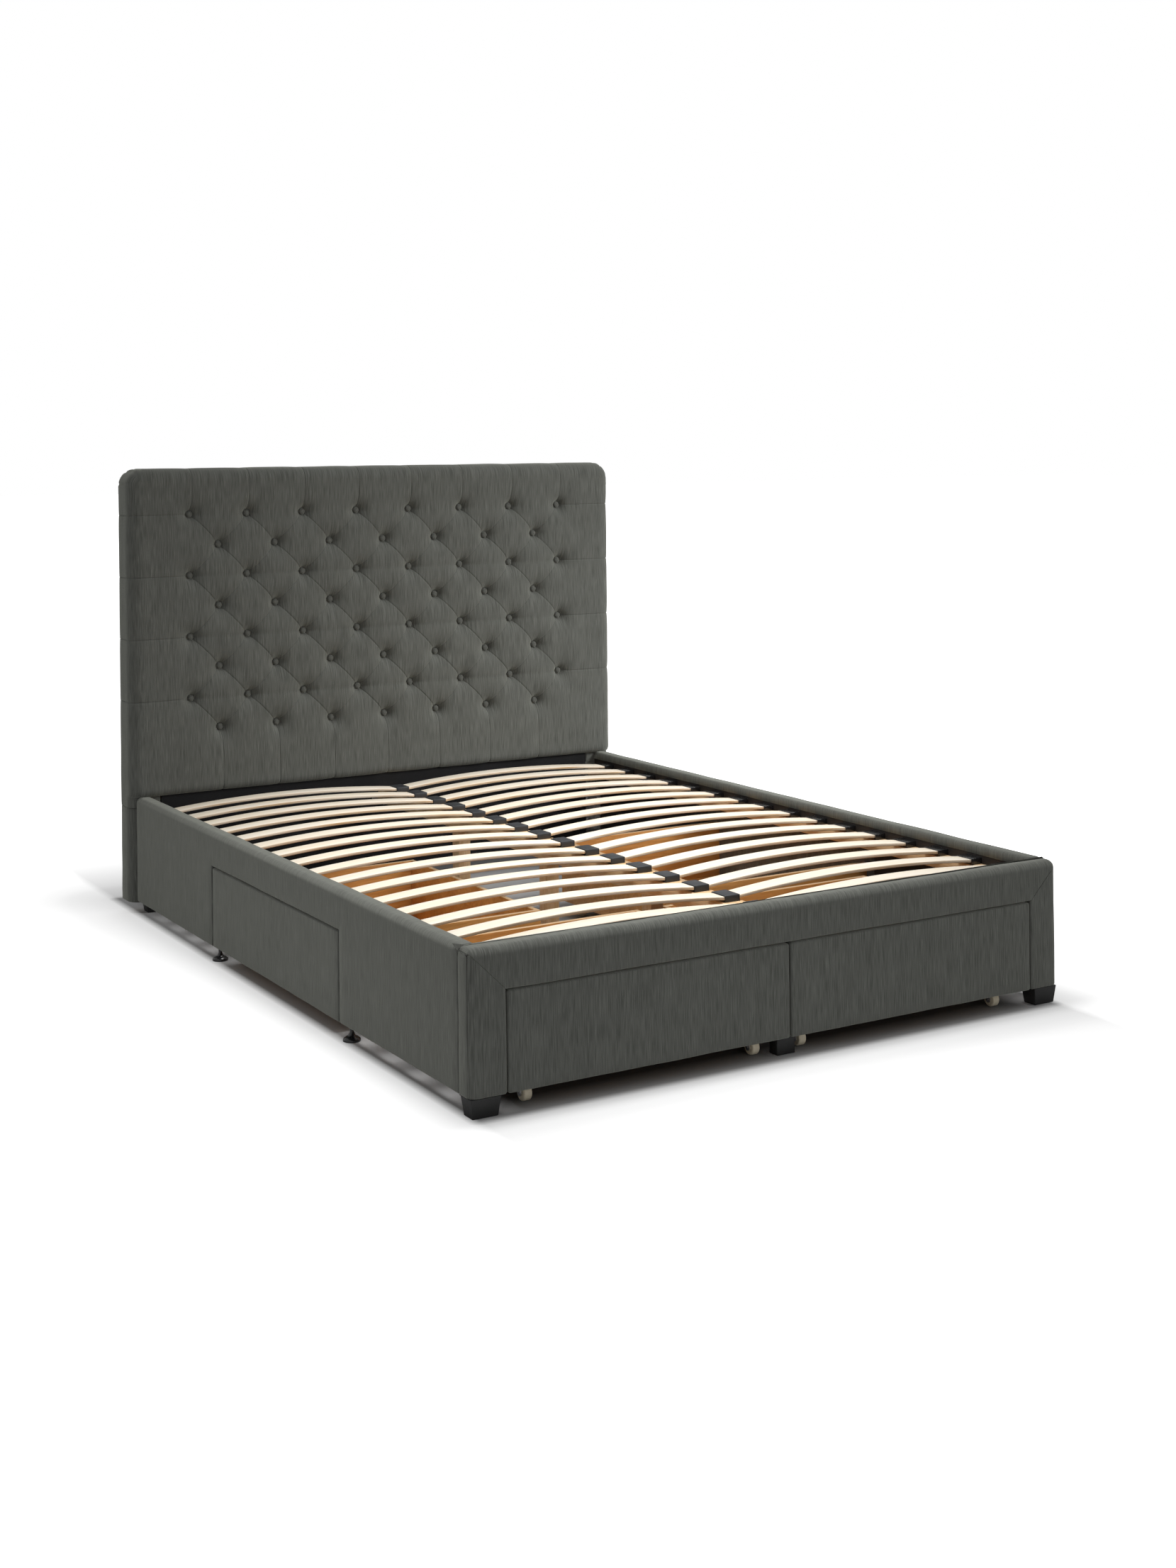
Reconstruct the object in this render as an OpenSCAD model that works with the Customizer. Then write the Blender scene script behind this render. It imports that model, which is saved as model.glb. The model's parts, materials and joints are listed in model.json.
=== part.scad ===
// Upholstered platform bed: a buttoned headboard, padded rails, bowed slats in two rows,
// two drawers that roll out at the foot and one that rolls out on each side.
// Millimetres. +Z is up, +Y points at the headboard, the origin is on the floor under the middle.

/* [Mattress] */
// Width of the mattress that the frame takes
mattress_w = 1500; // [1400:10:1700]
// Length of the mattress that the frame takes
mattress_l = 2000; // [1900:10:2200]
// Room beside the mattress, on each side
side_room = 18; // [10:1:30]
// Room past the mattress, at the head and at the foot
end_room = 42; // [24:1:60]

/* [Rails and footboard] */
// Thickness of a padded side rail
rail_t = 42; // [38:1:55]
// Thickness of the padded footboard
foot_t = 52; // [48:1:65]
// Height of the padded rails and footboard
rail_h = 307; // [300:1:340]
// Height of the rails above the floor
floor_gap = 42; // [40:1:55]
// Foam and fabric on the outer face of a rail
rail_pad = 12; // [8:1:16]
// Foam and fabric on top of a rail
rail_top_pad = 12; // [8:1:16]
// Thickness of the fabric where there is no foam under it
cloth_t = 1.5; // [1:0.5:2]
// How far the fabric runs down a rail's inner face
wrap_drop = 23; // [18:1:26]
// Radius of the outer top edge of the rails
rail_round = 16; // [10:1:20]
// Radius of the inner top edge of the rails
rail_inner_round = 9; // [5:1:12]
// Height of the rail that stays above a drawer opening
over_drawer_h = 90; // [86:1:100]
// Width of the footboard beside its drawer opening
stile_w = 85; // [80:1:100]
// Width of the post between the foot drawers
post_w = 50; // [40:1:60]
// Distance from the headboard to the side drawer opening
side_open_from_head = 635; // [500:5:650]
// Width of the side drawer opening
side_open_w = 845; // [760:5:860]

/* [Headboard] */
// Height of the headboard above the floor
head_h = 1319; // [1200:1:1400]
// Thickness of the headboard, from its lining to its back
head_t = 88; // [80:1:110]
// How far the headboard stands out past the rails, on each side
head_overhang = 18; // [0:1:40]
// Height of the headboard's lower edge above the floor
head_floor_gap = 36; // [32:1:42]
// How far the buttoned padding stands in front of the lining
head_swell = 20; // [10:1:30]
// Foam between the lining and the headboard's panel
head_foam = 35; // [30:1:40]
// Foam round the edge of the headboard's panel
head_edge_foam = 14; // [12:1:20]
// Radius of the padding's front edges
head_round = 38; // [30:1:44]
// Radius of the headboard's top corners, seen from the front
head_corner = 50; // [40:1:70]
// Thickness of the headboard's panel
head_panel_t = 15; // [12:1:18]
// Width of the battens behind the panel
batten_w = 60; // [45:5:80]

/* [Buttons] */
// Diameter of a covered button
button_d = 21; // [16:1:26]
// Height of a covered button
button_h = 6; // [4:1:8]
// Buttons in a long row
button_cols = 8; // [6:1:8]
// Rows of buttons, long and short in turn
button_rows = 8; // [4:1:8]
// Distance between the buttons of a row
button_pitch = 181.8; // [150:0.1:200]
// Distance between two rows
button_step = 92.1; // [80:0.1:100]
// Distance from the top of the headboard to the first row
button_drop = 137; // [110:1:160]

/* [Slats] */
// Width of a slat
slat_w = 53; // [45:1:70]
// Thickness of a slat
slat_t = 8; // [6:0.5:10]
// How far a slat rises between its ends
slat_bow = 20; // [8:1:22]
// Distance from the headboard's lining to the middle of the first slat
slat_head_room = 97; // [70:1:110]
// Distance from the footboard to the middle of the last slat
slat_foot_room = 74; // [60:1:100]
// Depth of the slats' supports below the rails' top
support_drop = 45; // [44:1:55]
// Clearance round a slat in its plastic holder
slat_play = 0.2; // [0.1:0.1:0.5]
// Plastic under a slat's end
holder_floor = 4; // [3:0.5:6]
// Plastic over and beside a slat's end
holder_wall = 2.5; // [2:0.5:4]
// Width of a middle cap, across the beam
cap_w = 42; // [36:1:54]
// Plastic between the two slats in a middle cap
cap_web = 14; // [8:1:20]
// How far a side holder stands out from its rail
holder_reach = 32; // [26:1:40]
// How deep a slat goes into a side holder
holder_grip = 18; // [12:1:24]

/* [Slat supports] */
// Width of the beam under the middle of the slats
beam_w = 60; // [56:1:80]
// Height of the beam
beam_h = 45; // [35:1:60]
// Width of a leg of the beam, across the bed
leg_w = 38; // [30:1:50]
// Depth of a leg, along the bed
leg_d = 42; // [30:1:60]
// Legs under the beam
leg_count = 3; // [1:1:5]
// Width of the ledger that carries the slats along a rail
ledger_w = 28; // [22:1:34]
// Height of a ledger
ledger_h = 33; // [25:1:40]
// Gap between a ledger's ends and the headboard or footboard
ledger_end_gap = 4; // [3:1:10]
// Thickness of the steel plates and brackets
steel_t = 2.5; // [2:0.5:3]
// Length of the beam that rests on its bracket
bracket_reach = 40; // [30:1:60]
// How far a beam bracket's plate stands out on each side of the beam
bracket_side = 20; // [15:1:30]
// Height of a beam bracket's plate above its shelf
bracket_h = 22; // [18:1:35]
// Height of the corner brackets
corner_h = 140; // [100:5:160]
// Length of a corner bracket's arm
corner_arm = 38; // [36:1:45]
// Distance from a corner bracket's ends to its bolts
bolt_end_room = 35; // [15:1:40]
// Distance from the edge of a corner bracket's arm to its bolts
bolt_edge_room = 9; // [9:1:12]
// Width of a bolt's head across its corners
bolt_head_d = 15; // [12:1:17]
// Height of a bolt's head
bolt_head_h = 5; // [4:0.5:7]

/* [Feet] */
// Width of a wooden foot at its top
foot_top_w = 70; // [60:1:78]
// Depth of a wooden foot at its top
foot_top_d = 49; // [44:1:50]
// How much narrower a wooden foot is at the floor
foot_taper = 10; // [0:1:16]
// Distance from the footboard's end to its feet
foot_inset = 4; // [2:1:6]
// Distance from the footboard's face to its feet
foot_setback = 2; // [0:1:3]
// Distance from the bed's side to the headboard's feet
head_foot_inset = 33; // [20:1:60]
// Distance from the headboard's lining to its feet
head_foot_setback = 10; // [4:1:20]
// Diameter of a levelling foot's disc
disc_d = 42; // [30:1:44]
// Thickness of a levelling foot's rim
disc_rim = 6; // [4:1:8]
// Height of a levelling foot's cone
disc_cone = 8; // [5:1:12]
// Diameter of a levelling foot's stem
stem_d = 10; // [8:1:12]
// Distance from a side drawer opening to the middle of a levelling foot
disc_inset = 10; // [8:1:30]

/* [Drawers] */
// Gap between a drawer front and the edges of its opening
drawer_gap = 5; // [3:0.5:7]
// Gap between the fronts of the two foot drawers
pair_gap = 4; // [3:0.5:8]
// Thickness of an upholstered drawer front
front_t = 18; // [16:1:18]
// Radius of a drawer front's side edges
front_round = 5; // [3:1:8]
// Gap between the back of a foot drawer's front and the post
post_gap = 2; // [1:0.5:5]
// Height of the drawer boxes, from the underside
box_h = 174; // [140:1:180]
// Thickness of the boards of a drawer box
board_t = 12; // [9:1:16]
// Thickness of a drawer's base
base_t = 10; // [6:1:12]
// Gap at a joint between two boards, or between a bolt and its plate
joint_gap = 0.2; // [0.1:0.1:0.4]
// Depth of a foot drawer's box
foot_box_d = 570; // [450:5:600]
// Distance from the middle post to a foot drawer's box
foot_box_inner_gap = 10; // [6:1:14]
// Distance from a foot drawer front's outer end to its box
foot_box_outer_inset = 40; // [30:1:60]
// Depth of a side drawer's box
side_box_d = 552; // [400:2:560]
// Distance from the ends of a side drawer's front to its box
side_box_inset = 54; // [40:1:80]

/* [Castors] */
// Diameter of a castor's wheel
wheel_d = 36; // [30:1:38]
// Width of a wheel's tread
wheel_w = 20; // [14:1:24]
// Radius of the tread's edges
wheel_round = 4; // [2:0.5:6]
// Width of the hub, from face to face
hub_w = 21; // [16:1:25]
// Diameter of the hub's face
hub_d = 14; // [10:1:18]
// Diameter of a castor's axle
axle_d = 6; // [5:1:8]
// Clearance round the axle, on the radius
axle_play = 0.05; // [0.02:0.01:0.1]
// Clearance between the hub and each cheek of the fork
hub_play = 0.5; // [0.3:0.1:1]
// Height of a castor, from the floor to its plate's top
castor_h = 46; // [44:1:54]
// Width and length of a castor's plate
castor_plate = 44; // [36:1:50]
// Width of a fork's cheek
cheek_w = 15; // [12:1:20]
// Distance from a box's side to the middle of its castors
castor_side_inset = 30; // [26:1:60]
// Distance from a foot drawer's face to its front axle
foot_castor_inset = 61; // [55:1:120]
// Distance from a side drawer's face to its front axle
side_castor_inset = 95; // [60:1:150]
// Distance from the back of a box to its rear axle
castor_back_inset = 50; // [40:1:100]

/* [Hidden] */
$fn = 64;
ARC_STEPS = 8;
SLAT_STEPS = 16;
SLAT_ROWS = 16;
FOOT_DRAWER = "foot";
SIDE_DRAWER = "side";
DRAWERS = ["foot_left", "foot_right", "side_left", "side_right"];

inner_w = mattress_w + 2 * side_room;
inner_l = mattress_l + 2 * end_room;
bed_w = inner_w + 2 * rail_t;
bed_l = inner_l + foot_t + head_t;
head_w = bed_w + 2 * head_overhang;
foot_face_y = -bed_l / 2;
foot_inner_y = foot_face_y + foot_t;
head_face_y = foot_inner_y + inner_l;
head_back_y = bed_l / 2;
rail_top_z = floor_gap + rail_h;
wrap_z = rail_top_z - wrap_drop;

// The boards inside the upholstery
board_face_x = inner_w / 2 + cloth_t;
board_outer_x = bed_w / 2 - rail_pad;
foot_board_y = foot_inner_y - cloth_t;
board_top_z = rail_top_z - rail_top_pad;

// The drawer openings
opening_top_z = rail_top_z - over_drawer_h;
foot_open_half = bed_w / 2 - stile_w;
side_open_y = head_face_y - side_open_from_head - side_open_w / 2;

// The slats and what carries them
support_z = rail_top_z - support_drop;
slat_seat_z = support_z + holder_floor;
slat_in_x = cap_web / 2;
slat_out_x = inner_w / 2 - holder_reach + holder_grip;
slat_mid_x = (slat_in_x + slat_out_x) / 2;
slat_half = (slat_out_x - slat_in_x) / 2;
slat_radius = (slat_half * slat_half + slat_bow * slat_bow) / (2 * slat_bow);
slat_half_angle = asin(slat_half / slat_radius);
slat_pitch = (inner_l - slat_head_room - slat_foot_room) / (SLAT_ROWS - 1);
holder_l = slat_w + 2 * holder_wall;
slat_rise_at_cap = slat_bow * (1 - pow((slat_mid_x - cap_w / 2) / slat_half, 2));
holder_top_z = slat_seat_z + slat_rise_at_cap + slat_t + holder_wall;
lining_half = board_face_x - corner_arm + steel_t;
beam_foot_y = foot_board_y + steel_t;
beam_head_y = head_face_y - cloth_t - steel_t;
beam_z = support_z - beam_h;
corner_z = floor_gap + (support_z - ledger_h - floor_gap - corner_h) / 2;

// The drawers
front_z = floor_gap;
front_h = opening_top_z - drawer_gap - front_z;
foot_front_w = foot_open_half - drawer_gap - pair_gap / 2;
foot_front_x = pair_gap / 2 + foot_front_w / 2;
foot_box_in_x = post_w / 2 + foot_box_inner_gap;
foot_box_out_x = foot_front_x + foot_front_w / 2 - foot_box_outer_inset;
foot_box_w = foot_box_out_x - foot_box_in_x;
foot_box_shift = foot_front_x - (foot_box_in_x + foot_box_out_x) / 2;
side_front_w = side_open_w - 2 * drawer_gap;
side_box_w = side_front_w - 2 * side_box_inset;
axle_z = wheel_d / 2;

function arc(centre, r, from, to) =
    [for (i = [0 : ARC_STEPS])
        let (a = from + (to - from) * i / ARC_STEPS)
        [centre[0] + r * cos(a), centre[1] + r * sin(a)]];
function slat_y(row) = head_face_y - slat_head_room - row * slat_pitch;
function slat_name(row) = str("slat_row_", row + 1);

// What the drawers differ in: front width, box width, box depth, the box's shift and the front axle
function is_foot(place) = place == "foot_left" || place == "foot_right";
function front_w(kind) = kind == FOOT_DRAWER ? foot_front_w : side_front_w;
function box_w(kind) = kind == FOOT_DRAWER ? foot_box_w : side_box_w;
function box_d(kind) = kind == FOOT_DRAWER ? foot_box_d : side_box_d;
function box_shift(kind) = kind == FOOT_DRAWER ? foot_box_shift : 0;
function front_axle(kind) = kind == FOOT_DRAWER ? foot_castor_inset : side_castor_inset;
function rear_axle(kind) = front_t + box_d(kind) - castor_back_inset;
function kind_of(place) = is_foot(place) ? FOOT_DRAWER : SIDE_DRAWER;

// ---- helpers ----

// Runs its children on the left and, mirrored, on the right
module both_sides() {
    children();
    mirror([1, 0, 0]) children();
}

// A box from one corner to the opposite corner
module block(low, high) {
    translate(low) cube(high - low);
}

// The section of a padded rail: x from the outer face inwards, y up from the lower edge
module rail_section(t) {
    polygon(concat(
        [[0, 0], [t, 0]],
        arc([t - rail_inner_round, rail_h - rail_inner_round], rail_inner_round, 0, 90),
        arc([rail_round, rail_h - rail_round], rail_round, 90, 180)));
}

// ---- headboard ----

// Where the panel and its battens sit inside the padding
module headboard_recess(grow) {
    block([-head_w / 2 + head_edge_foam - grow, head_face_y + head_foam, head_floor_gap - grow],
          [head_w / 2 - head_edge_foam + grow, head_back_y - cloth_t, head_h - head_edge_foam + grow]);
}

module headboard_panel() {
    half_w = head_w / 2 - head_edge_foam - batten_w;
    batten_y = head_face_y + head_foam + head_panel_t;
    low_z = head_floor_gap + batten_w;
    high_z = head_h - head_edge_foam - batten_w;
    middle_z = (low_z + high_z) / 2;
    color("burlywood") difference() {
        headboard_recess(0);
        block([-half_w, batten_y, low_z], [half_w, head_back_y, middle_z - batten_w / 2]);
        block([-half_w, batten_y, middle_z + batten_w / 2], [half_w, head_back_y, high_z]);
    }
}

// Seen from above: flat back, rounded front corners
module padding_plan(front_y) {
    linear_extrude(head_h) polygon(concat(
        [[head_w / 2, head_back_y], [-head_w / 2, head_back_y]],
        arc([-head_w / 2 + head_round, front_y + head_round], head_round, 180, 270),
        arc([head_w / 2 - head_round, front_y + head_round], head_round, 270, 360)));
}

// Seen from the side: the padding swells above the rails and rounds over at the top
module padding_side() {
    swell_y = head_face_y - head_swell;
    rotate([90, 0, 90]) linear_extrude(head_w, center = true) polygon(concat(
        [[head_back_y, head_floor_gap], [head_back_y, head_h]],
        arc([swell_y + head_round, head_h - head_round], head_round, 90, 180),
        arc([head_face_y, rail_top_z + head_swell], head_swell, 180, 270),
        [[head_face_y, head_floor_gap]]));
}

// Seen from the front: square at the floor, rounded top corners
module padding_front() {
    rotate([90, 0, 0]) linear_extrude(2 * bed_l, center = true) polygon(concat(
        [[-head_w / 2, head_floor_gap], [head_w / 2, head_floor_gap]],
        arc([head_w / 2 - head_corner, head_h - head_corner], head_corner, 0, 90),
        arc([-head_w / 2 + head_corner, head_h - head_corner], head_corner, 90, 180)));
}

module headboard_padding() {
    color("dimgray") difference() {
        intersection() {
            union() {
                intersection() {
                    padding_plan(head_face_y - head_swell);
                    block([-head_w, foot_face_y, rail_top_z], [head_w, head_back_y, head_h]);
                }
                intersection() {
                    padding_plan(head_face_y);
                    block([-head_w, foot_face_y, 0], [head_w, head_back_y, rail_top_z]);
                }
            }
            padding_side();
            padding_front();
        }
        headboard_recess(0);
        block([-head_w / 2 + head_edge_foam, head_back_y - cloth_t, head_floor_gap],
              [head_w / 2 - head_edge_foam, head_back_y, head_h - head_edge_foam]);
    }
}

// A low dome whose flat back lies on the padding
module button() {
    rotate([90, 0, 0]) {
        cylinder(h = button_h / 2, d = button_d);
        translate([0, 0, button_h / 2]) cylinder(h = button_h / 2, d1 = button_d, d2 = button_d / 2);
    }
}

module headboard_buttons() {
    color("dimgray")
        for (row = [0 : button_rows - 1])
            let (count = button_cols - row % 2)
            for (i = [0 : count - 1])
                translate([(i - (count - 1) / 2) * button_pitch,
                           head_face_y - head_swell,
                           head_h - button_drop - row * button_step])
                    button();
}

module headboard_back_cloth() {
    color("black")
        block([-head_w / 2 + head_edge_foam, head_back_y - cloth_t, head_floor_gap],
              [head_w / 2 - head_edge_foam, head_back_y, head_h - head_edge_foam]);
}

module headboard_lining() {
    color("black")
        block([-lining_half, head_face_y - cloth_t, head_floor_gap],
              [lining_half, head_face_y, rail_top_z]);
}

// ---- rails and footboard ----

// The side drawer's opening, larger by grow where the board stands back behind the fabric
module side_opening(grow) {
    half = side_open_w / 2 + grow;
    block([-bed_w, side_open_y - half, 0], [0, side_open_y + half, opening_top_z + grow]);
}

// What the fabric leaves bare on the inner face of a rail, below the wrap
module bare_inner_face() {
    block([-board_face_x, foot_face_y, 0], [0, head_back_y, wrap_z]);
}

module rail_board_solid() {
    block([-board_outer_x, foot_inner_y, floor_gap], [-board_face_x, head_face_y, board_top_z]);
}

module rail_board() {
    color("tan") difference() {
        rail_board_solid();
        side_opening(cloth_t);
    }
}

module rail_cover() {
    color("dimgray") difference() {
        translate([-bed_w / 2, head_face_y, floor_gap])
            rotate([90, 0, 0])
                linear_extrude(inner_l) rail_section(rail_t);
        difference() {
            rail_board_solid();
            side_opening(cloth_t);
        }
        side_opening(0);
        bare_inner_face();
    }
}

module foot_opening(grow) {
    half = foot_open_half + grow;
    block([-half, foot_face_y - foot_t, 0], [half, foot_inner_y + foot_t, opening_top_z + grow]);
}

module foot_board_solid() {
    difference() {
        block([-bed_w / 2 + cloth_t, foot_face_y + rail_pad, floor_gap],
              [bed_w / 2 - cloth_t, foot_board_y, board_top_z]);
        foot_opening(cloth_t);
    }
}

module centre_post() {
    block([-post_w / 2, foot_face_y + front_t + post_gap, floor_gap],
          [post_w / 2, foot_board_y, opening_top_z + cloth_t]);
}

module footboard_frame() {
    color("tan") {
        foot_board_solid();
        centre_post();
    }
}

module footboard_cover() {
    color("dimgray") difference() {
        translate([0, foot_face_y, floor_gap])
            rotate([90, 0, 90])
                linear_extrude(bed_w, center = true) rail_section(foot_t);
        foot_board_solid();
        centre_post();
        foot_opening(0);
        block([-bed_w, foot_board_y, 0], [bed_w, foot_inner_y, wrap_z]);
    }
}

// ---- slats ----

// A slat seen from the foot, larger by grow above and below, and past its ends by the same
module slat_outline(grow) {
    centre = [slat_mid_x, slat_seat_z + slat_bow - slat_radius];
    reach = slat_half_angle * (1 + grow / slat_half);
    angles = [for (i = [0 : SLAT_STEPS]) 90 + reach - 2 * reach * i / SLAT_STEPS];
    low = slat_radius - grow;
    high = slat_radius + slat_t + grow;
    polygon(concat(
        [for (a = angles) centre + high * [cos(a), sin(a)]],
        [for (i = [SLAT_STEPS : -1 : 0]) centre + low * [cos(angles[i]), sin(angles[i])]]));
}

module slat(row, grow) {
    translate([0, slat_y(row) + slat_w / 2 + grow, 0])
        rotate([90, 0, 0]) linear_extrude(slat_w + 2 * grow) slat_outline(grow);
}

module slat_row(row) {
    color("wheat") both_sides() slat(row, 0);
}

// A holder's block over one slat row, from x0 to x1
module holder_block(row, x0, x1) {
    block([x0, slat_y(row) - holder_l / 2, support_z], [x1, slat_y(row) + holder_l / 2, holder_top_z]);
}

module slat_middle_caps() {
    color("darkslategray")
        for (row = [0 : SLAT_ROWS - 1])
            difference() {
                holder_block(row, -cap_w / 2, cap_w / 2);
                both_sides() slat(row, slat_play);
            }
}

module slat_side_holders() {
    color("black")
        for (row = [0 : SLAT_ROWS - 1])
            both_sides() difference() {
                holder_block(row, inner_w / 2 - holder_reach, board_face_x);
                slat(row, slat_play);
            }
}

// ---- slat supports ----

module slat_ledgers() {
    color("burlywood") both_sides()
        block([-board_face_x, foot_inner_y + ledger_end_gap, support_z - ledger_h],
              [-board_face_x + ledger_w, head_face_y - ledger_end_gap, support_z]);
}

module centre_beam() {
    color("burlywood")
        block([-beam_w / 2, beam_foot_y, beam_z], [beam_w / 2, beam_head_y, support_z]);
}

module centre_legs() {
    color("burlywood")
        for (i = [1 : leg_count])
            translate([-leg_w / 2, foot_inner_y + inner_l * i / (leg_count + 1) - leg_d / 2, 0])
                cube([leg_w, leg_d, beam_z]);
}

// A shelf under the beam's end and a plate against what it hangs on, which faces +Y
module beam_bracket() {
    plate_half = beam_w / 2 + bracket_side;
    block([-beam_w / 2, 0, -steel_t], [beam_w / 2, bracket_reach, 0]);
    block([-plate_half, -steel_t, -steel_t], [plate_half, 0, bracket_h]);
}

module beam_brackets() {
    color("silver") {
        translate([0, beam_foot_y, beam_z]) beam_bracket();
        translate([0, beam_head_y, beam_z]) mirror([0, 1, 0]) beam_bracket();
    }
}

// An angle plate in the left rear corner of a rail and what it meets at y = 0, with its bolt heads
module corner_fixing() {
    bolt_out = corner_arm - steel_t - bolt_edge_room;
    block([0, 0, 0], [steel_t, corner_arm, corner_h]);
    block([0, 0, 0], [corner_arm - steel_t, steel_t, corner_h]);
    for (z = [bolt_end_room, corner_h - bolt_end_room]) {
        translate([steel_t + joint_gap, bolt_out, z])
            rotate([0, 90, 0]) cylinder(h = bolt_head_h, d = bolt_head_d, $fn = 6);
        translate([bolt_out, steel_t + joint_gap, z])
            rotate([-90, 0, 0]) cylinder(h = bolt_head_h, d = bolt_head_d, $fn = 6);
    }
}

module corner_fixings() {
    color("silver") both_sides() {
        translate([-board_face_x, foot_board_y, corner_z]) corner_fixing();
        translate([-board_face_x, head_face_y, corner_z]) mirror([0, 1, 0]) corner_fixing();
    }
}

// ---- feet ----

// A tapered block that hangs down by h from the origin, with a corner of its top there
module tapered_foot(h) {
    inset = foot_taper / 2;
    corners = [[0, 0], [1, 0], [1, 1], [0, 1]];
    top = [for (c = corners) [c[0] * foot_top_w, c[1] * foot_top_d, 0]];
    bottom = [for (c = corners) [inset + c[0] * (foot_top_w - foot_taper),
                                 inset + c[1] * (foot_top_d - foot_taper), -h]];
    polyhedron(concat(bottom, top),
               [[0, 1, 2, 3], [7, 6, 5, 4], [0, 4, 5, 1], [1, 5, 6, 2], [2, 6, 7, 3], [3, 7, 4, 0]]);
}

module wooden_feet() {
    color("black") {
        both_sides() {
            translate([-bed_w / 2 + foot_inset, foot_face_y + foot_setback, floor_gap])
                tapered_foot(floor_gap);
            translate([-bed_w / 2 + head_foot_inset, head_face_y + head_foot_setback, head_floor_gap])
                tapered_foot(head_floor_gap);
        }
        block([-post_w / 2, foot_face_y + front_t + post_gap, 0], [post_w / 2, foot_board_y, floor_gap]);
    }
}

module levelling_foot() {
    cylinder(h = disc_rim, d = disc_d);
    translate([0, 0, disc_rim]) cylinder(h = disc_cone, d1 = disc_d, d2 = stem_d);
    cylinder(h = floor_gap, d = stem_d);
}

module levelling_feet() {
    stem_x = (board_outer_x + board_face_x) / 2;
    color("black") both_sides()
        for (end = [-1, 1])
            translate([-stem_x, side_open_y + end * (side_open_w / 2 + disc_inset), 0])
                levelling_foot();
}

// ---- drawers ----
// Each drawer is drawn in its own frame: x along the front, y inwards from its face, z up.

// Puts a drawer in its opening
module in_place(place) {
    if (place == "foot_left") translate([-foot_front_x, foot_face_y, 0]) children();
    if (place == "foot_right") mirror([1, 0, 0]) in_place("foot_left") children();
    if (place == "side_left") translate([-bed_w / 2, side_open_y, 0]) rotate([0, 0, -90]) children();
    if (place == "side_right") mirror([1, 0, 0]) in_place("side_left") children();
}

module drawer_front(kind) {
    half = front_w(kind) / 2;
    color("dimgray") translate([0, 0, front_z]) linear_extrude(front_h) polygon(concat(
        [[half, front_t], [-half, front_t]],
        arc([-half + front_round, front_round], front_round, 180, 270),
        arc([half - front_round, front_round], front_round, 270, 360)));
}

// Two sides with the back between them
module drawer_box(kind) {
    half = box_w(kind) / 2;
    back_y = front_t + box_d(kind);
    top_z = castor_h + box_h;
    color("sienna") translate([box_shift(kind), 0, 0]) {
        for (x = [-half, half - board_t])
            block([x, front_t, castor_h], [x + board_t, back_y, top_z]);
        block([-half + board_t + joint_gap, back_y - board_t, castor_h],
              [half - board_t - joint_gap, back_y, top_z]);
    }
}

module drawer_base(kind) {
    half = box_w(kind) / 2 - board_t - joint_gap;
    color("peru") translate([box_shift(kind), 0, 0])
        block([-half, front_t, castor_h],
              [half, front_t + box_d(kind) - board_t - joint_gap, castor_h + base_t]);
}

// The middles of a drawer's castors: x on the left and right, y as given
module castor_places(kind, y) {
    castor_x = box_w(kind) / 2 - castor_side_inset;
    for (x = [-castor_x, castor_x])
        translate([box_shift(kind) + x, y, axle_z]) children();
}

// A plate with two cheeks and the axle between them, with the axle's middle at the origin
module castor_fork() {
    cheek_x = hub_w / 2 + hub_play;
    plate_z = castor_h - axle_z;
    translate([-castor_plate / 2, -castor_plate / 2, plate_z - steel_t])
        cube([castor_plate, castor_plate, steel_t]);
    both_sides() translate([cheek_x, 0, 0]) {
        translate([0, -cheek_w / 2, 0]) cube([steel_t, cheek_w, plate_z - steel_t / 2]);
        rotate([0, 90, 0]) cylinder(h = steel_t, d = cheek_w);
    }
    rotate([0, 90, 0]) cylinder(h = 2 * (cheek_x + steel_t) + steel_t, d = axle_d, center = true);
}

module drawer_castor_forks(kind) {
    color("silver")
        for (y = [front_axle(kind), rear_axle(kind)])
            castor_places(kind, y) castor_fork();
}

// A wheel on the x axis, with a true bore
module wheel() {
    bore_r = axle_d / 2 + axle_play;
    tread_r = wheel_d / 2;
    shoulder = wheel_w / 2 - wheel_round;
    rotate([0, 90, 0]) rotate_extrude() polygon(concat(
        [[bore_r, -hub_w / 2], [hub_d / 2, -hub_w / 2], [hub_d / 2, -wheel_w / 2]],
        arc([tread_r - wheel_round, -shoulder], wheel_round, -90, 0),
        arc([tread_r - wheel_round, shoulder], wheel_round, 0, 90),
        [[hub_d / 2, wheel_w / 2], [hub_d / 2, hub_w / 2], [bore_r, hub_w / 2]]));
}

module drawer_wheels(kind, y) {
    color("ivory") castor_places(kind, y) wheel();
}

// ---- the nodes ----

headboard_panel();
headboard_padding();
headboard_buttons();
headboard_back_cloth();
headboard_lining();
rail_board();  // left_rail_board
mirror([1, 0, 0]) rail_board();  // right_rail_board
rail_cover();  // left_rail_cover
mirror([1, 0, 0]) rail_cover();  // right_rail_cover
footboard_frame();
footboard_cover();
slat_ledgers();
centre_beam();
centre_legs();
beam_brackets();
slat_side_holders();
slat_middle_caps();
wooden_feet();
levelling_feet();
corner_fixings();

for (row = [0 : SLAT_ROWS - 1])
    slat_row(row);

for (place = DRAWERS) {
    kind = kind_of(place);
    name = str(place, "_drawer_");
    in_place(place) drawer_front(kind);
    in_place(place) drawer_box(kind);
    in_place(place) drawer_base(kind);
    in_place(place) drawer_castor_forks(kind);
    in_place(place) drawer_wheels(kind, front_axle(kind));
    in_place(place) drawer_wheels(kind, rear_axle(kind));
}
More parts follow.
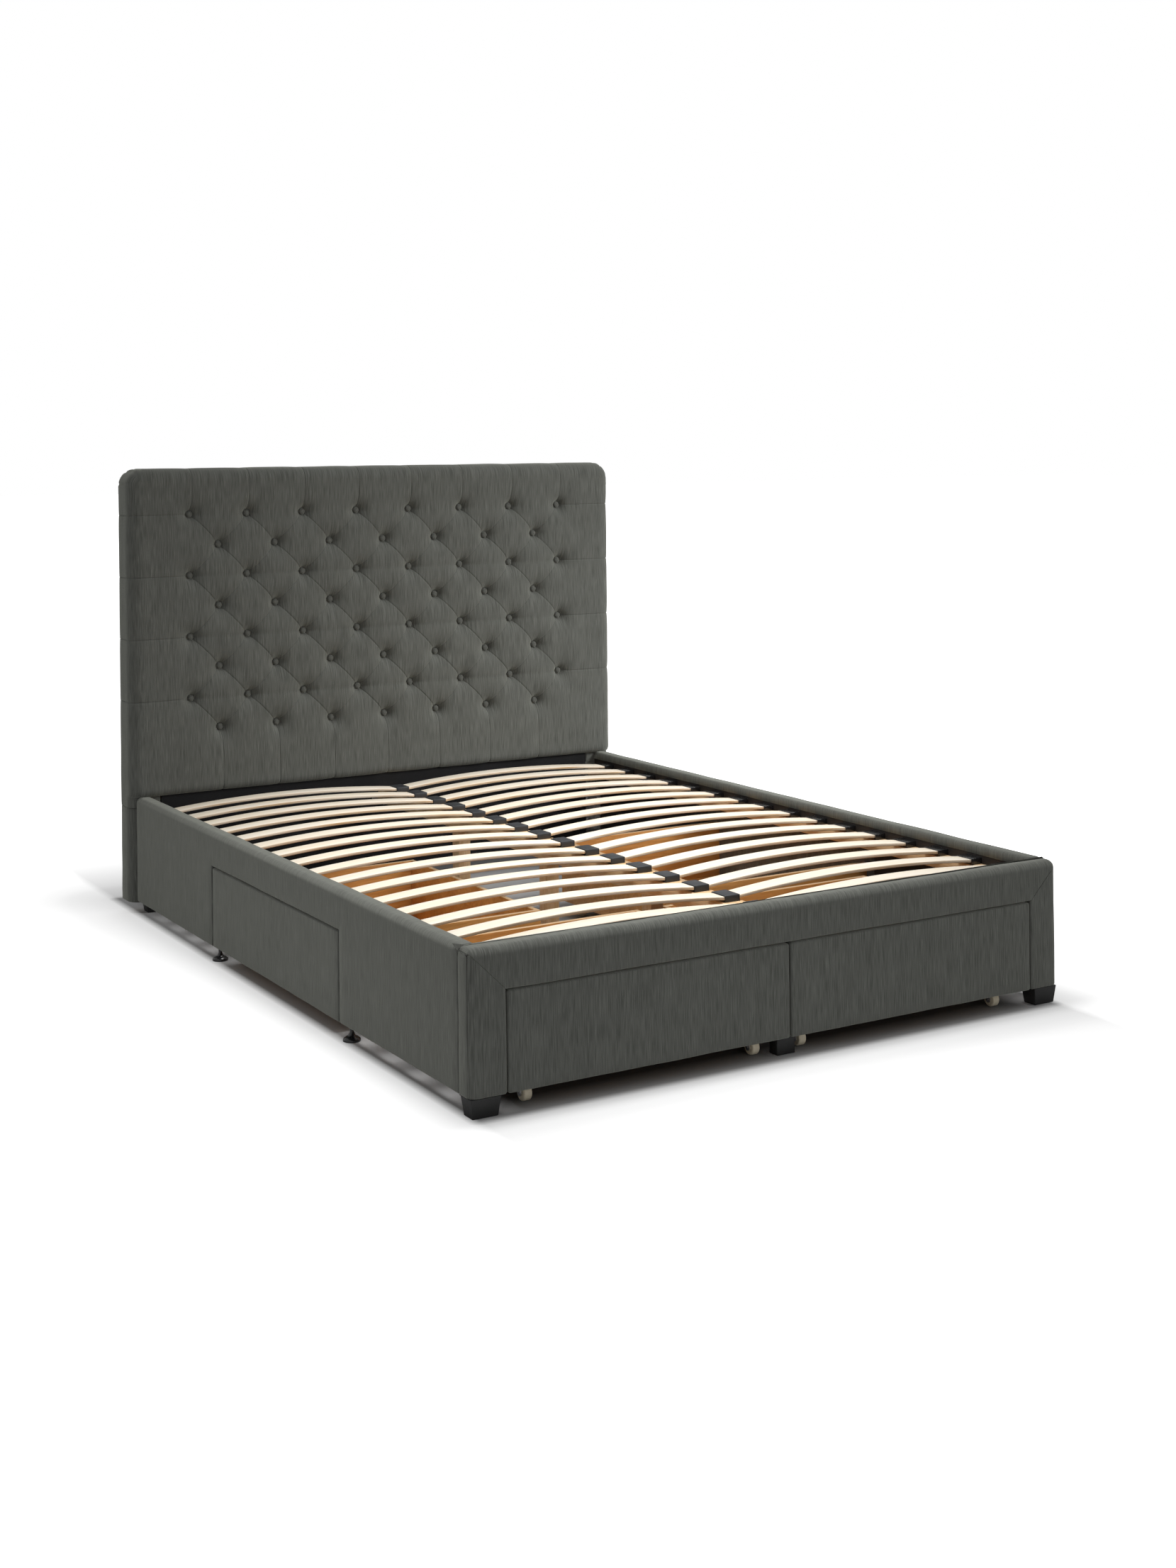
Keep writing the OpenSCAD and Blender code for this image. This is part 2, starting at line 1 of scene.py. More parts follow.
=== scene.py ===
"""The looks of an upholstered platform bed with four rolling drawers.

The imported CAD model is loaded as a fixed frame. Each class below dresses one
sub-assembly of it: the buttoned headboard, the padded rails, the footboard, the
drawer fronts, the cloths, the slats, the bare timber and the plastics. The last
classes set the plain studio and the camera.
"""

import json
import logging
import math
from dataclasses import dataclass
from enum import Enum
from typing import Callable, Iterable, Sequence

import bmesh
import bpy
import numpy as np
from mathutils import Matrix, Vector, noise

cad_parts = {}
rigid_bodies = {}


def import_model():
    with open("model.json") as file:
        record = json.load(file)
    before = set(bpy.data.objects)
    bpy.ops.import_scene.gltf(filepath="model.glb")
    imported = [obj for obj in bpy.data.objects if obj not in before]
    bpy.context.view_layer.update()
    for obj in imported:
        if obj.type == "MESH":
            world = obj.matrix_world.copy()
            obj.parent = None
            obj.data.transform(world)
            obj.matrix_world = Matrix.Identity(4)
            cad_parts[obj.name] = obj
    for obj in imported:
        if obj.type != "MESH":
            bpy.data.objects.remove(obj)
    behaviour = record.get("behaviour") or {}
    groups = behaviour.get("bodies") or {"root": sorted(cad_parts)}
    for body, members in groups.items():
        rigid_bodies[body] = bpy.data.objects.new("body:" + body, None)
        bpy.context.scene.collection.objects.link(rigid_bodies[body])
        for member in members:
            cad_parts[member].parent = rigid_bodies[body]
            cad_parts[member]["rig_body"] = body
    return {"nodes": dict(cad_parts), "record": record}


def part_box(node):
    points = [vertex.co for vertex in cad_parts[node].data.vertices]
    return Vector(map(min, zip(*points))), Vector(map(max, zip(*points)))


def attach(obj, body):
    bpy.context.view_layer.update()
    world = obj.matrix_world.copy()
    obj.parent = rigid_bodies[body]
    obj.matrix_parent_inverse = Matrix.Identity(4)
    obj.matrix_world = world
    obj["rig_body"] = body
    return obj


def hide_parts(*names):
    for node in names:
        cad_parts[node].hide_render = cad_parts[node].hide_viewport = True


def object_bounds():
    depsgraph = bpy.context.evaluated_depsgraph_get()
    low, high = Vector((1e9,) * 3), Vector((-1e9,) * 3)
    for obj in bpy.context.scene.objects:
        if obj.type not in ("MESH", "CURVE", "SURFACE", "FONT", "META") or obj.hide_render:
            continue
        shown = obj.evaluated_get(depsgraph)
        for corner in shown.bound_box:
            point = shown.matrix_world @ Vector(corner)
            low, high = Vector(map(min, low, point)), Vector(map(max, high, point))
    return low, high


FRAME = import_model()
CAD_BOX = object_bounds()
LOG = logging.getLogger("platform_bed")

Colour = tuple[float, float, float]
Flat = tuple[float, float]

FRAME_BODY = "frame"
CLOTH_SLOT = "upholstery_cloth"
DRAWERS = ("foot_left", "foot_right", "side_left", "side_right")

# In metres: how close doubles are merged, how near a plane counts as on it, the tolerance of a
# cut, and the cells that padded faces are divided into.
MERGE = 2e-5
ON_PLANE = 1e-5
CUT = 1e-6
CELL = 0.03

# In degrees: the turn past which an edge is a corner, and past which padding stays sharp.
CORNER = 60
PADDED_SHARP = 60


class Side(Enum):
    """The two sides of the bed, as the sign of X."""

    LEFT = -1
    RIGHT = 1


class Axis(Enum):
    """The three directions of the row frame."""

    X = 0
    Y = 1
    Z = 2


# ---- finishes ----


class Recipe:
    """Builds one node material, a node or two at a time."""

    def __init__(self, name: str, roughness: float, specular: float = 0.3) -> None:
        """Starts a material with one Principled shader.

        Args:
            name: the material's name.
            roughness: the shader's own roughness.
            specular: the shader's own specular level.
        """
        self.material = bpy.data.materials.new(name)
        self.material.use_nodes = True
        self.tree = self.material.node_tree
        self.shader = self.tree.nodes["Principled BSDF"]
        self.shader.inputs["Roughness"].default_value = roughness
        self.shader.inputs["Specular IOR Level"].default_value = specular
        self._coordinates = self.tree.nodes.new("ShaderNodeTexCoord")

    def node(self, kind: str, inputs: dict | None = None, **settings) -> bpy.types.Node:
        """Adds a node.

        Args:
            kind: the node's type, without its ShaderNode prefix.
            inputs: values or sockets by input name or index.
            settings: properties of the node.

        Returns:
            The node.
        """
        made = self.tree.nodes.new("ShaderNode" + kind)
        for key, value in settings.items():
            setattr(made, key, value)
        for key, value in (inputs or {}).items():
            if isinstance(value, bpy.types.NodeSocket):
                self.tree.links.new(value, made.inputs[key])
            else:
                made.inputs[key].default_value = value
        return made

    def cloth(self) -> bpy.types.NodeSocket:
        """The piece's own cloth coordinates, in metres."""
        return self._coordinates.outputs["UV"]

    def place(self) -> bpy.types.NodeSocket:
        """The place on the object, in metres."""
        return self._coordinates.outputs["Object"]

    def scaled(self, source: bpy.types.NodeSocket, scale: Sequence[float],
               shift: Sequence[float] = (0, 0, 0)) -> bpy.types.NodeSocket:
        """Stretches coordinates.

        Args:
            source: the coordinates.
            scale: how many pattern units there are to a metre, along each direction.
            shift: what is added after the scale.

        Returns:
            The stretched coordinates.
        """
        inputs = {"Vector": source, "Scale": scale, "Location": shift}
        return self.node("Mapping", inputs).outputs[0]

    def noise(self, vector: bpy.types.NodeSocket, detail: float = 2, roughness: float = 0.5,
              distortion: float = 0) -> bpy.types.NodeSocket:
        """Smooth noise, about 0.5, one lump to a pattern unit.

        Args:
            vector: the stretched coordinates.
            detail: how many finer layers are added.
            roughness: how strong the finer layers are.
            distortion: how much the lumps are drawn out of shape.

        Returns:
            The noise value.
        """
        return self.node("TexNoise", {"Vector": vector, "Scale": 1.0, "Detail": detail,
                                      "Roughness": roughness, "Distortion": distortion}).outputs[0]

    def spread(self, value: bpy.types.NodeSocket, low: float, high: float, out_low: float = 0,
               out_high: float = 1) -> bpy.types.NodeSocket:
        """Maps low and high onto out_low and out_high, and holds what is past them."""
        ends = {1: low, 2: high, 3: out_low, 4: out_high}
        return self.node("MapRange", {"Value": value, **ends}).outputs[0]

    def even(self, source: bpy.types.NodeSocket, scale: float) -> bpy.types.NodeSocket:
        """Coordinates scaled by the same number in every direction."""
        return self.scaled(source, (scale,) * 3)

    @staticmethod
    def paler(colour: Colour, times: float, plus: float = 0) -> Colour:
        """A colour made lighter, and held at white."""
        return tuple(min(1.0, times * part + plus) for part in colour)

    def math(self, kind: str, *values) -> bpy.types.NodeSocket:
        """One step of arithmetic on numbers or sockets."""
        return self.node("Math", dict(enumerate(values)), operation=kind).outputs[0]

    def blend(self, factor, first, second, mode: str = "MIX") -> bpy.types.NodeSocket:
        """Mixes two colours.

        Args:
            factor: a number or a socket, from the first colour at 0 to the second at 1.
            first: a colour or a socket.
            second: a colour or a socket.
            mode: the way they are mixed.

        Returns:
            The mixed colour.
        """
        made = self.node("Mix", data_type="RGBA", blend_type=mode)
        for index, value in ((0, factor), (6, first), (7, second)):
            if isinstance(value, bpy.types.NodeSocket):
                self.tree.links.new(value, made.inputs[index])
            elif isinstance(value, tuple):
                made.inputs[index].default_value = (*value, 1)
            else:
                made.inputs[index].default_value = value
        return made.outputs[2]

    def axis(self, vector: bpy.types.NodeSocket, axis: Axis) -> bpy.types.NodeSocket:
        """One part of a vector."""
        return self.node("SeparateXYZ", {0: vector}).outputs[axis.value]

    def colour(self, value) -> None:
        """Sets or links the shader's colour."""
        if isinstance(value, tuple):
            self.shader.inputs["Base Color"].default_value = (*value, 1)
        else:
            self.tree.links.new(value, self.shader.inputs["Base Color"])

    def relief(self, height: bpy.types.NodeSocket, depth: float) -> None:
        """Gives the surface a fine relief.

        Args:
            height: the relief, from 0 to 1.
            depth: the height of 1, in metres.
        """
        bump = self.node("Bump", {"Height": height, "Strength": 1.0, "Distance": depth})
        self.tree.links.new(bump.outputs[0], self.shader.inputs["Normal"])

    def rough(self, value: bpy.types.NodeSocket) -> None:
        """Links the shader's roughness."""
        self.tree.links.new(value, self.shader.inputs["Roughness"])


@dataclass(frozen=True)
class Upholstery:
    """Charcoal woven cloth with fine threads and short slubs along its warp."""

    dark: Colour = (0.047, 0.0488, 0.0437)
    pale: Colour = (0.137, 0.1410, 0.1281)
    thread: Flat = (0.0010, 0.050)
    slub: Flat = (0.0022, 0.055)
    bright_slub: Flat = (0.0016, 0.045)
    band: Flat = (0.016, 0.30)
    bright: float = 1.35
    weave: Flat = (0.0009, 0.0011)
    relief: float = 0.0002
    sheen: float = 0.4
    sheen_roughness: float = 0.5
    sheen_tint: Colour = (0.86, 0.88, 0.77)

    def make(self) -> bpy.types.Material:
        """Returns the node material."""
        recipe = Recipe("charcoal_cloth", 0.9, 0.15)
        cloth = recipe.cloth()

        def streaks(size: Flat, shift: float, detail: float = 1) -> bpy.types.NodeSocket:
            """Noise drawn out along the warp: how wide and how long its lumps are."""
            scale = (1 / size[0], 1 / size[1], 1)
            return recipe.noise(recipe.scaled(cloth, scale, (shift, 2 * shift, 0)), detail)

        def crossing(axis: Axis, pitch: float) -> bpy.types.NodeSocket:
            """The rise and fall of the threads that lie across one direction."""
            angle = recipe.math("MULTIPLY", recipe.axis(cloth, axis), math.tau / pitch)
            return recipe.math("SINE", angle)

        fine = recipe.spread(streaks(self.thread, 0), 0.25, 0.75)
        coarse = recipe.spread(streaks(self.slub, 3), 0.28, 0.72)
        broad = recipe.spread(streaks(self.band, 11, 2), 0.3, 0.7)
        tone = recipe.math("MULTIPLY_ADD", fine, 0.25, recipe.math(
            "MULTIPLY_ADD", coarse, 0.60, recipe.math("MULTIPLY", broad, 0.15)))
        body = recipe.blend(tone, self.dark, self.pale)
        raised = recipe.spread(streaks(self.bright_slub, 7), 0.66, 0.76, 0, 0.6)
        recipe.colour(recipe.blend(raised, body, recipe.paler(self.pale, self.bright)))
        threads = recipe.math("MULTIPLY", crossing(Axis.X, self.weave[0]),
                              crossing(Axis.Y, self.weave[1]))
        woven = recipe.math("MULTIPLY_ADD", threads, 0.25, 0.5)
        height = recipe.math("MULTIPLY_ADD", woven, 0.4, recipe.math("MULTIPLY", coarse, 0.6))
        recipe.relief(height, self.relief)
        recipe.shader.inputs["Sheen Weight"].default_value = self.sheen
        recipe.shader.inputs["Sheen Roughness"].default_value = self.sheen_roughness
        recipe.shader.inputs["Sheen Tint"].default_value = (*self.sheen_tint, 1)
        return recipe.material


@dataclass(frozen=True)
class LiningCloth:
    """Thin black non-woven cloth, pressed in small dots."""

    colour: Colour = (0.007, 0.007, 0.0075)
    bright: float = 2.4
    fibre: float = 600
    cloud: float = 14
    relief: float = 0.0002

    def make(self) -> bpy.types.Material:
        """Returns the node material."""
        recipe = Recipe("black_lining_cloth", 0.85, 0.25)
        place = recipe.place()
        fibres = recipe.noise(recipe.even(place, self.fibre), 3, 0.6)
        clouds = recipe.noise(recipe.even(place, self.cloud), 2)
        tone = recipe.math("MULTIPLY", recipe.spread(fibres, 0.3, 0.7),
                           recipe.spread(clouds, 0.2, 0.8))
        recipe.colour(recipe.blend(tone, self.colour, recipe.paler(self.colour, self.bright)))
        recipe.relief(fibres, self.relief)
        return recipe.material


@dataclass(frozen=True)
class Timber:
    """Wood whose grain runs along one direction of the row frame."""

    name: str
    pale: Colour
    dark: Colour
    along: Axis
    roughness: float = 0.55
    fibre: float = 0.0016
    figure: float = 0.03
    contrast: float = 0.6
    rings: float = 46.0
    relief: float = 0.00025
    edge: Colour | None = None
    edge_axis: Axis = Axis.Z

    def make(self) -> bpy.types.Material:
        """Returns the node material."""
        recipe = Recipe(self.name, self.roughness, 0.35)
        place = recipe.place()

        def stretched(width: float, length: float, shift: float) -> bpy.types.NodeSocket:
            """The place, drawn out along the grain."""
            scale = [1 / width] * 3
            scale[self.along.value] = 1 / length
            return recipe.scaled(place, scale, (shift, shift, shift))

        warp = recipe.noise(stretched(self.figure, 12 * self.figure, 2.0), 3, 0.55, 0.6)
        rings = recipe.math("SINE", recipe.math("MULTIPLY", warp, self.rings))
        fibres = recipe.noise(stretched(self.fibre, 40 * self.fibre, 5.0), 3, 0.6)
        tone = recipe.math("MULTIPLY", recipe.spread(warp, 0.35, 0.65), 0.5 * self.contrast)
        tone = recipe.math("MULTIPLY_ADD", recipe.spread(fibres, 0.3, 0.7), 0.35 * self.contrast,
                           tone)
        tone = recipe.math("MULTIPLY_ADD", recipe.spread(rings, -1, 1), 0.5 * self.contrast, tone)
        face = recipe.blend(tone, self.pale, self.dark)
        if self.edge is not None:
            normal = recipe.node("NewGeometry").outputs["Normal"]
            facing = recipe.math("ABSOLUTE", recipe.axis(normal, self.edge_axis))
            sawn = recipe.blend(recipe.spread(fibres, 0.3, 0.7), self.edge,
                                tuple(0.7 * part for part in self.edge))
            face = recipe.blend(recipe.spread(facing, 0.6, 0.8), face, sawn)
        recipe.colour(face)
        recipe.rough(recipe.spread(fibres, 0.2, 0.8, self.roughness - 0.08, self.roughness + 0.1))
        recipe.relief(fibres, self.relief)
        return recipe.material


@dataclass(frozen=True)
class BentBirch:
    """Lacquered birch slats, with the brown glue lines of their layers at the edges."""

    pale: Colour = (0.81, 0.755, 0.66)
    warm: Colour = (0.78, 0.66, 0.48)
    edge: Colour = (0.62, 0.42, 0.22)
    glue: Colour = (0.24, 0.12, 0.05)
    layers: int = 7
    relief: float = 0.0002

    def make(self, seat_z: float, middle_x: float, radius: float, bow: float,
             thickness: float) -> bpy.types.Material:
        """Makes the material for slats of one bend.

        Args:
            seat_z: the height that the slats' ends sit at.
            middle_x: the middle of a slat, from the middle of the bed.
            radius: the radius of the bend.
            bow: how far a slat rises.
            thickness: a slat's thickness.

        Returns:
            The node material.
        """
        recipe = Recipe("bent_birch", 0.42, 0.4)
        place = recipe.place()
        streaks = recipe.noise(recipe.scaled(place, (3.2, 260, 90), (1, 4, 2)), 3, 0.6)
        cloudy = recipe.noise(recipe.scaled(place, (2.4, 24, 9), (7, 1, 3)), 3, 0.6, 0.8)
        tone = recipe.math("MULTIPLY_ADD", recipe.spread(streaks, 0.35, 0.75), 0.5,
                           recipe.math("MULTIPLY", recipe.spread(cloudy, 0.35, 0.7), 0.5))
        flecks = recipe.noise(recipe.scaled(place, (7, 300, 60), (3, 9, 5)), 2, 0.5)
        face = recipe.blend(tone, self.pale, self.warm)
        face = recipe.blend(recipe.spread(flecks, 0.72, 0.8, 0, 0.55), face, self.glue)
        along = recipe.math("ABSOLUTE", recipe.axis(place, Axis.X))
        across = recipe.math("SUBTRACT", along, middle_x)
        drop = recipe.math("DIVIDE", recipe.math("MULTIPLY", across, across), 2 * radius)
        height = recipe.math("SUBTRACT", recipe.math("ADD", recipe.axis(place, Axis.Z), drop),
                             seat_z + bow)
        depth = recipe.math("MULTIPLY", height, self.layers / thickness)
        line = recipe.math("ABSOLUTE", recipe.math("SUBTRACT", recipe.math("FRACT", depth), 0.5))
        layered = recipe.blend(recipe.spread(line, 0.3, 0.46), self.edge, self.glue)
        layered = recipe.blend(recipe.spread(streaks, 0.3, 0.8), layered, self.pale)
        normal = recipe.node("NewGeometry").outputs["Normal"]
        sideways = recipe.math("ABSOLUTE", recipe.axis(normal, Axis.Y))
        recipe.colour(recipe.blend(recipe.spread(sideways, 0.55, 0.9), face, layered))
        recipe.rough(recipe.spread(streaks, 0.2, 0.8, 0.36, 0.52))
        recipe.relief(streaks, self.relief)
        return recipe.material


@dataclass(frozen=True)
class Moulded:
    """Moulded plastic or lacquered wood with a fine uneven surface."""

    name: str
    colour: Colour
    roughness: float
    grain: float = 0.0012
    depth: float = 0.00006
    coat: float = 0.0
    marks: float = 38

    def make(self) -> bpy.types.Material:
        """Returns the node material."""
        recipe = Recipe(self.name, self.roughness, 0.5)
        place = recipe.place()
        pits = recipe.noise(recipe.even(place, 1 / self.grain), 3, 0.6)
        marks = recipe.noise(recipe.even(place, self.marks), 4, 0.65)
        recipe.colour(recipe.blend(recipe.spread(marks, 0.35, 0.75), self.colour,
                                   recipe.paler(self.colour, 1.25, 0.003)))
        recipe.rough(recipe.spread(marks, 0.3, 0.7, self.roughness - 0.06, self.roughness + 0.1))
        recipe.relief(pits, self.depth)
        recipe.shader.inputs["Coat Weight"].default_value = self.coat
        recipe.shader.inputs["Coat Roughness"].default_value = 0.15
        return recipe.material


@dataclass(frozen=True)
class ZincPlate:
    """Zinc-plated sheet steel with a faint spangle."""

    bright: Colour = (0.62, 0.63, 0.64)
    dull: Colour = (0.46, 0.47, 0.48)
    spangle: float = 160
    relief: float = 0.00004

    def make(self) -> bpy.types.Material:
        """Returns the node material."""
        recipe = Recipe("zinc_plate", 0.35, 0.5)
        recipe.shader.inputs["Metallic"].default_value = 1.0
        place = recipe.place()
        cells = {"Vector": recipe.even(place, self.spangle), "Scale": 1.0}
        spangle = recipe.node("TexVoronoi", cells).outputs["Color"]
        value = recipe.node("SeparateColor", {0: spangle}).outputs[0]
        brushed = recipe.noise(recipe.scaled(place, (900, 900, 40)), 2)
        recipe.colour(recipe.blend(value, self.bright, self.dull))
        recipe.rough(recipe.spread(value, 0, 1, 0.3, 0.45))
        recipe.relief(brushed, self.relief)
        return recipe.material


class Finishes:
    """Makes each finish once, and hands it out by name."""

    def __init__(self) -> None:
        """Makes the finishes that need no sizes."""
        self.cloth = Upholstery().make()
        self.lining = LiningCloth().make()
        pine = dict(pale=(0.74, 0.54, 0.32), dark=(0.52, 0.30, 0.13), contrast=0.55)
        ply = dict(pale=(0.70, 0.37, 0.12), dark=(0.50, 0.24, 0.07), contrast=0.8,
                   edge=(0.60, 0.42, 0.24), roughness=0.42)
        self.pine_long = Timber("pine_along_the_bed", along=Axis.Y, **pine).make()
        self.pine_upright = Timber("pine_upright", along=Axis.Z, **pine).make()
        self.panel = Timber("panel_and_battens", (0.66, 0.50, 0.32), (0.46, 0.31, 0.17),
                            Axis.X).make()
        self.box_wood = Timber("drawer_veneer", along=Axis.X, **ply).make()
        self.base_wood = Timber("drawer_base_veneer", (0.72, 0.39, 0.13), (0.50, 0.24, 0.07),
                                Axis.X, roughness=0.45, contrast=0.8).make()
        self.black_wood = Moulded("black_lacquered_wood", (0.006, 0.006, 0.006), 0.5,
                                  0.002, 0.0001).make()
        self.stained_board = Timber("black_stained_board", (0.022, 0.018, 0.016),
                                    (0.010, 0.009, 0.008), Axis.Y, roughness=0.6).make()
        self.gloss_black = Moulded("gloss_black_plastic", (0.011, 0.011, 0.012), 0.22,
                                   coat=0.3).make()
        self.dark_grey = Moulded("dark_grey_plastic", (0.018, 0.020, 0.023), 0.5).make()
        self.cream = Moulded("cream_plastic", (0.60, 0.54, 0.41), 0.45).make()
        self.zinc = ZincPlate().make()


# ---- mesh work that several pieces share ----


def shown(name: str, bm: bmesh.types.BMesh, finish: bpy.types.Material, body: str, slot: str,
          replaces: Sequence[str] = (), sharp: float = 38.0) -> bpy.types.Object:
    """Turns a bmesh into a finished piece that rides on a body.

    Args:
        name: the piece's name.
        bm: the mesh, which is freed.
        finish: the material.
        body: the CAD body that it rides on.
        slot: the record's material slot; not used.
        replaces: the CAD nodes that it stands for.
        sharp: edges that turn by more degrees than this stay sharp.

    Returns:
        The new object.
    """
    mesh = bpy.data.meshes.new(name)
    bm.to_mesh(mesh)
    bm.free()
    mesh.materials.append(finish)
    mesh.shade_smooth()
    mesh.set_sharp_from_angle(angle=math.radians(sharp))
    piece = bpy.data.objects.new(name, mesh)
    bpy.context.scene.collection.objects.link(piece)
    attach(piece, body)
    if replaces:
        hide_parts(*replaces)
    LOG.info("%s: %d vertices, rides on %s", name, len(mesh.vertices), body)
    return piece


def slot_of(node: str) -> str:
    """The material slot that the record gives a CAD node."""
    parts = FRAME["record"]["subparts"]
    return next(part["material_slot"] for part in parts if part["node"] == node)


def prism(outline: Iterable[Sequence[float]], depth: Sequence[float]) -> bmesh.types.BMesh:
    """Extrudes a flat outline into a solid.

    Args:
        outline: the corners, in order.
        depth: how far and which way it is extruded.

    Returns:
        The closed solid.
    """
    bm = bmesh.new()
    face = bm.faces.new([bm.verts.new(corner) for corner in outline])
    made = bmesh.ops.extrude_face_region(bm, geom=[face])
    moved = [part for part in made["geom"] if isinstance(part, bmesh.types.BMVert)]
    bmesh.ops.translate(bm, verts=moved, vec=Vector(depth))
    bmesh.ops.recalc_face_normals(bm, faces=bm.faces[:])
    return bm


def rounded(bm: bmesh.types.BMesh, radius: float, segments: int,
            chosen: Callable[[bmesh.types.BMEdge], bool]) -> None:
    """Rounds the edges that the test picks.

    Args:
        bm: the mesh.
        radius: the radius of the rounding.
        segments: how many flats make it.
        chosen: the test, which is given each edge.
    """
    edges = [edge for edge in bm.edges if len(edge.link_faces) == 2 and chosen(edge)]
    if edges:
        bmesh.ops.bevel(bm, geom=edges, offset=radius, offset_type="OFFSET", segments=segments,
                        profile=0.5, affect="EDGES", clamp_overlap=False, material=-1)


def turns(edge: bmesh.types.BMEdge, degrees: float) -> bool:
    """Whether the surface turns outwards by more than this at an edge."""
    return edge.is_convex and edge.calc_face_angle(0) > math.radians(degrees)


def lies_at(edge: bmesh.types.BMEdge, axis: Axis, value: float) -> bool:
    """Whether both ends of an edge are at one coordinate."""
    return all(abs(vert.co[axis.value] - value) < ON_PLANE for vert in edge.verts)


def cut_through(bm: bmesh.types.BMesh, point: Vector, normal: Vector) -> None:
    """Cuts a whole mesh through at a plane, and keeps both parts."""
    geometry = bm.verts[:] + bm.edges[:] + bm.faces[:]
    bmesh.ops.bisect_plane(bm, geom=geometry, dist=CUT, plane_co=point, plane_no=normal)


def sliced(bm: bmesh.types.BMesh, axis: Axis, places: Iterable[float]) -> None:
    """Cuts a mesh through at each place along one direction."""
    normal = Vector((0, 0, 0))
    normal[axis.value] = 1
    for place in places:
        cut_through(bm, normal * place, normal)


def steps(low: float, high: float, size: float) -> list[float]:
    """Evenly spaced places between two ends, without the ends."""
    count = max(1, round((high - low) / size))
    return [low + (high - low) * i / count for i in range(1, count)]


def divided(start: float, length: float, count: int) -> list[float]:
    """Evenly spaced places along a length, with its end and without its start."""
    return [start + length * i / count for i in range(1, count + 1)]


def softened(bm: bmesh.types.BMesh, height: float, size: float, seed: float) -> None:
    """Makes stuffed faces slightly uneven.

    Args:
        bm: the mesh.
        height: how far a point may move along its normal, in metres.
        size: the size of a lump, in metres.
        seed: a number that sets one piece's lumps apart from another's.
    """
    bm.normal_update()
    shift = Vector((seed, 1.7 * seed, -seed))
    moves = [(vert, vert.normal * height * noise.noise(vert.co / size + shift))
             for vert in bm.verts]
    for vert, move in moves:
        vert.co += move


def cloth_coordinates(bm: bmesh.types.BMesh,
                      lay: Callable[[bmesh.types.BMFace, Vector], Flat]) -> None:
    """Lays the cloth on a mesh.

    Args:
        bm: the mesh.
        lay: gives the cloth coordinates of a point on a face, in metres.
    """
    layer = bm.loops.layers.uv.verify()
    for face in bm.faces:
        for loop in face.loops:
            loop[layer].uv = lay(face, loop.vert.co)


def box_cloth(face: bmesh.types.BMFace, point: Vector) -> Flat:
    """Cloth laid flat on each face of a block, with the warp upright or across the top."""
    x, y, z = (abs(part) for part in face.normal)
    if y >= x and y >= z:
        return point.x, point.z
    if x >= z:
        return point.y + 3, point.z
    return point.x, point.y + 5


# ---- the buttoned headboard ----


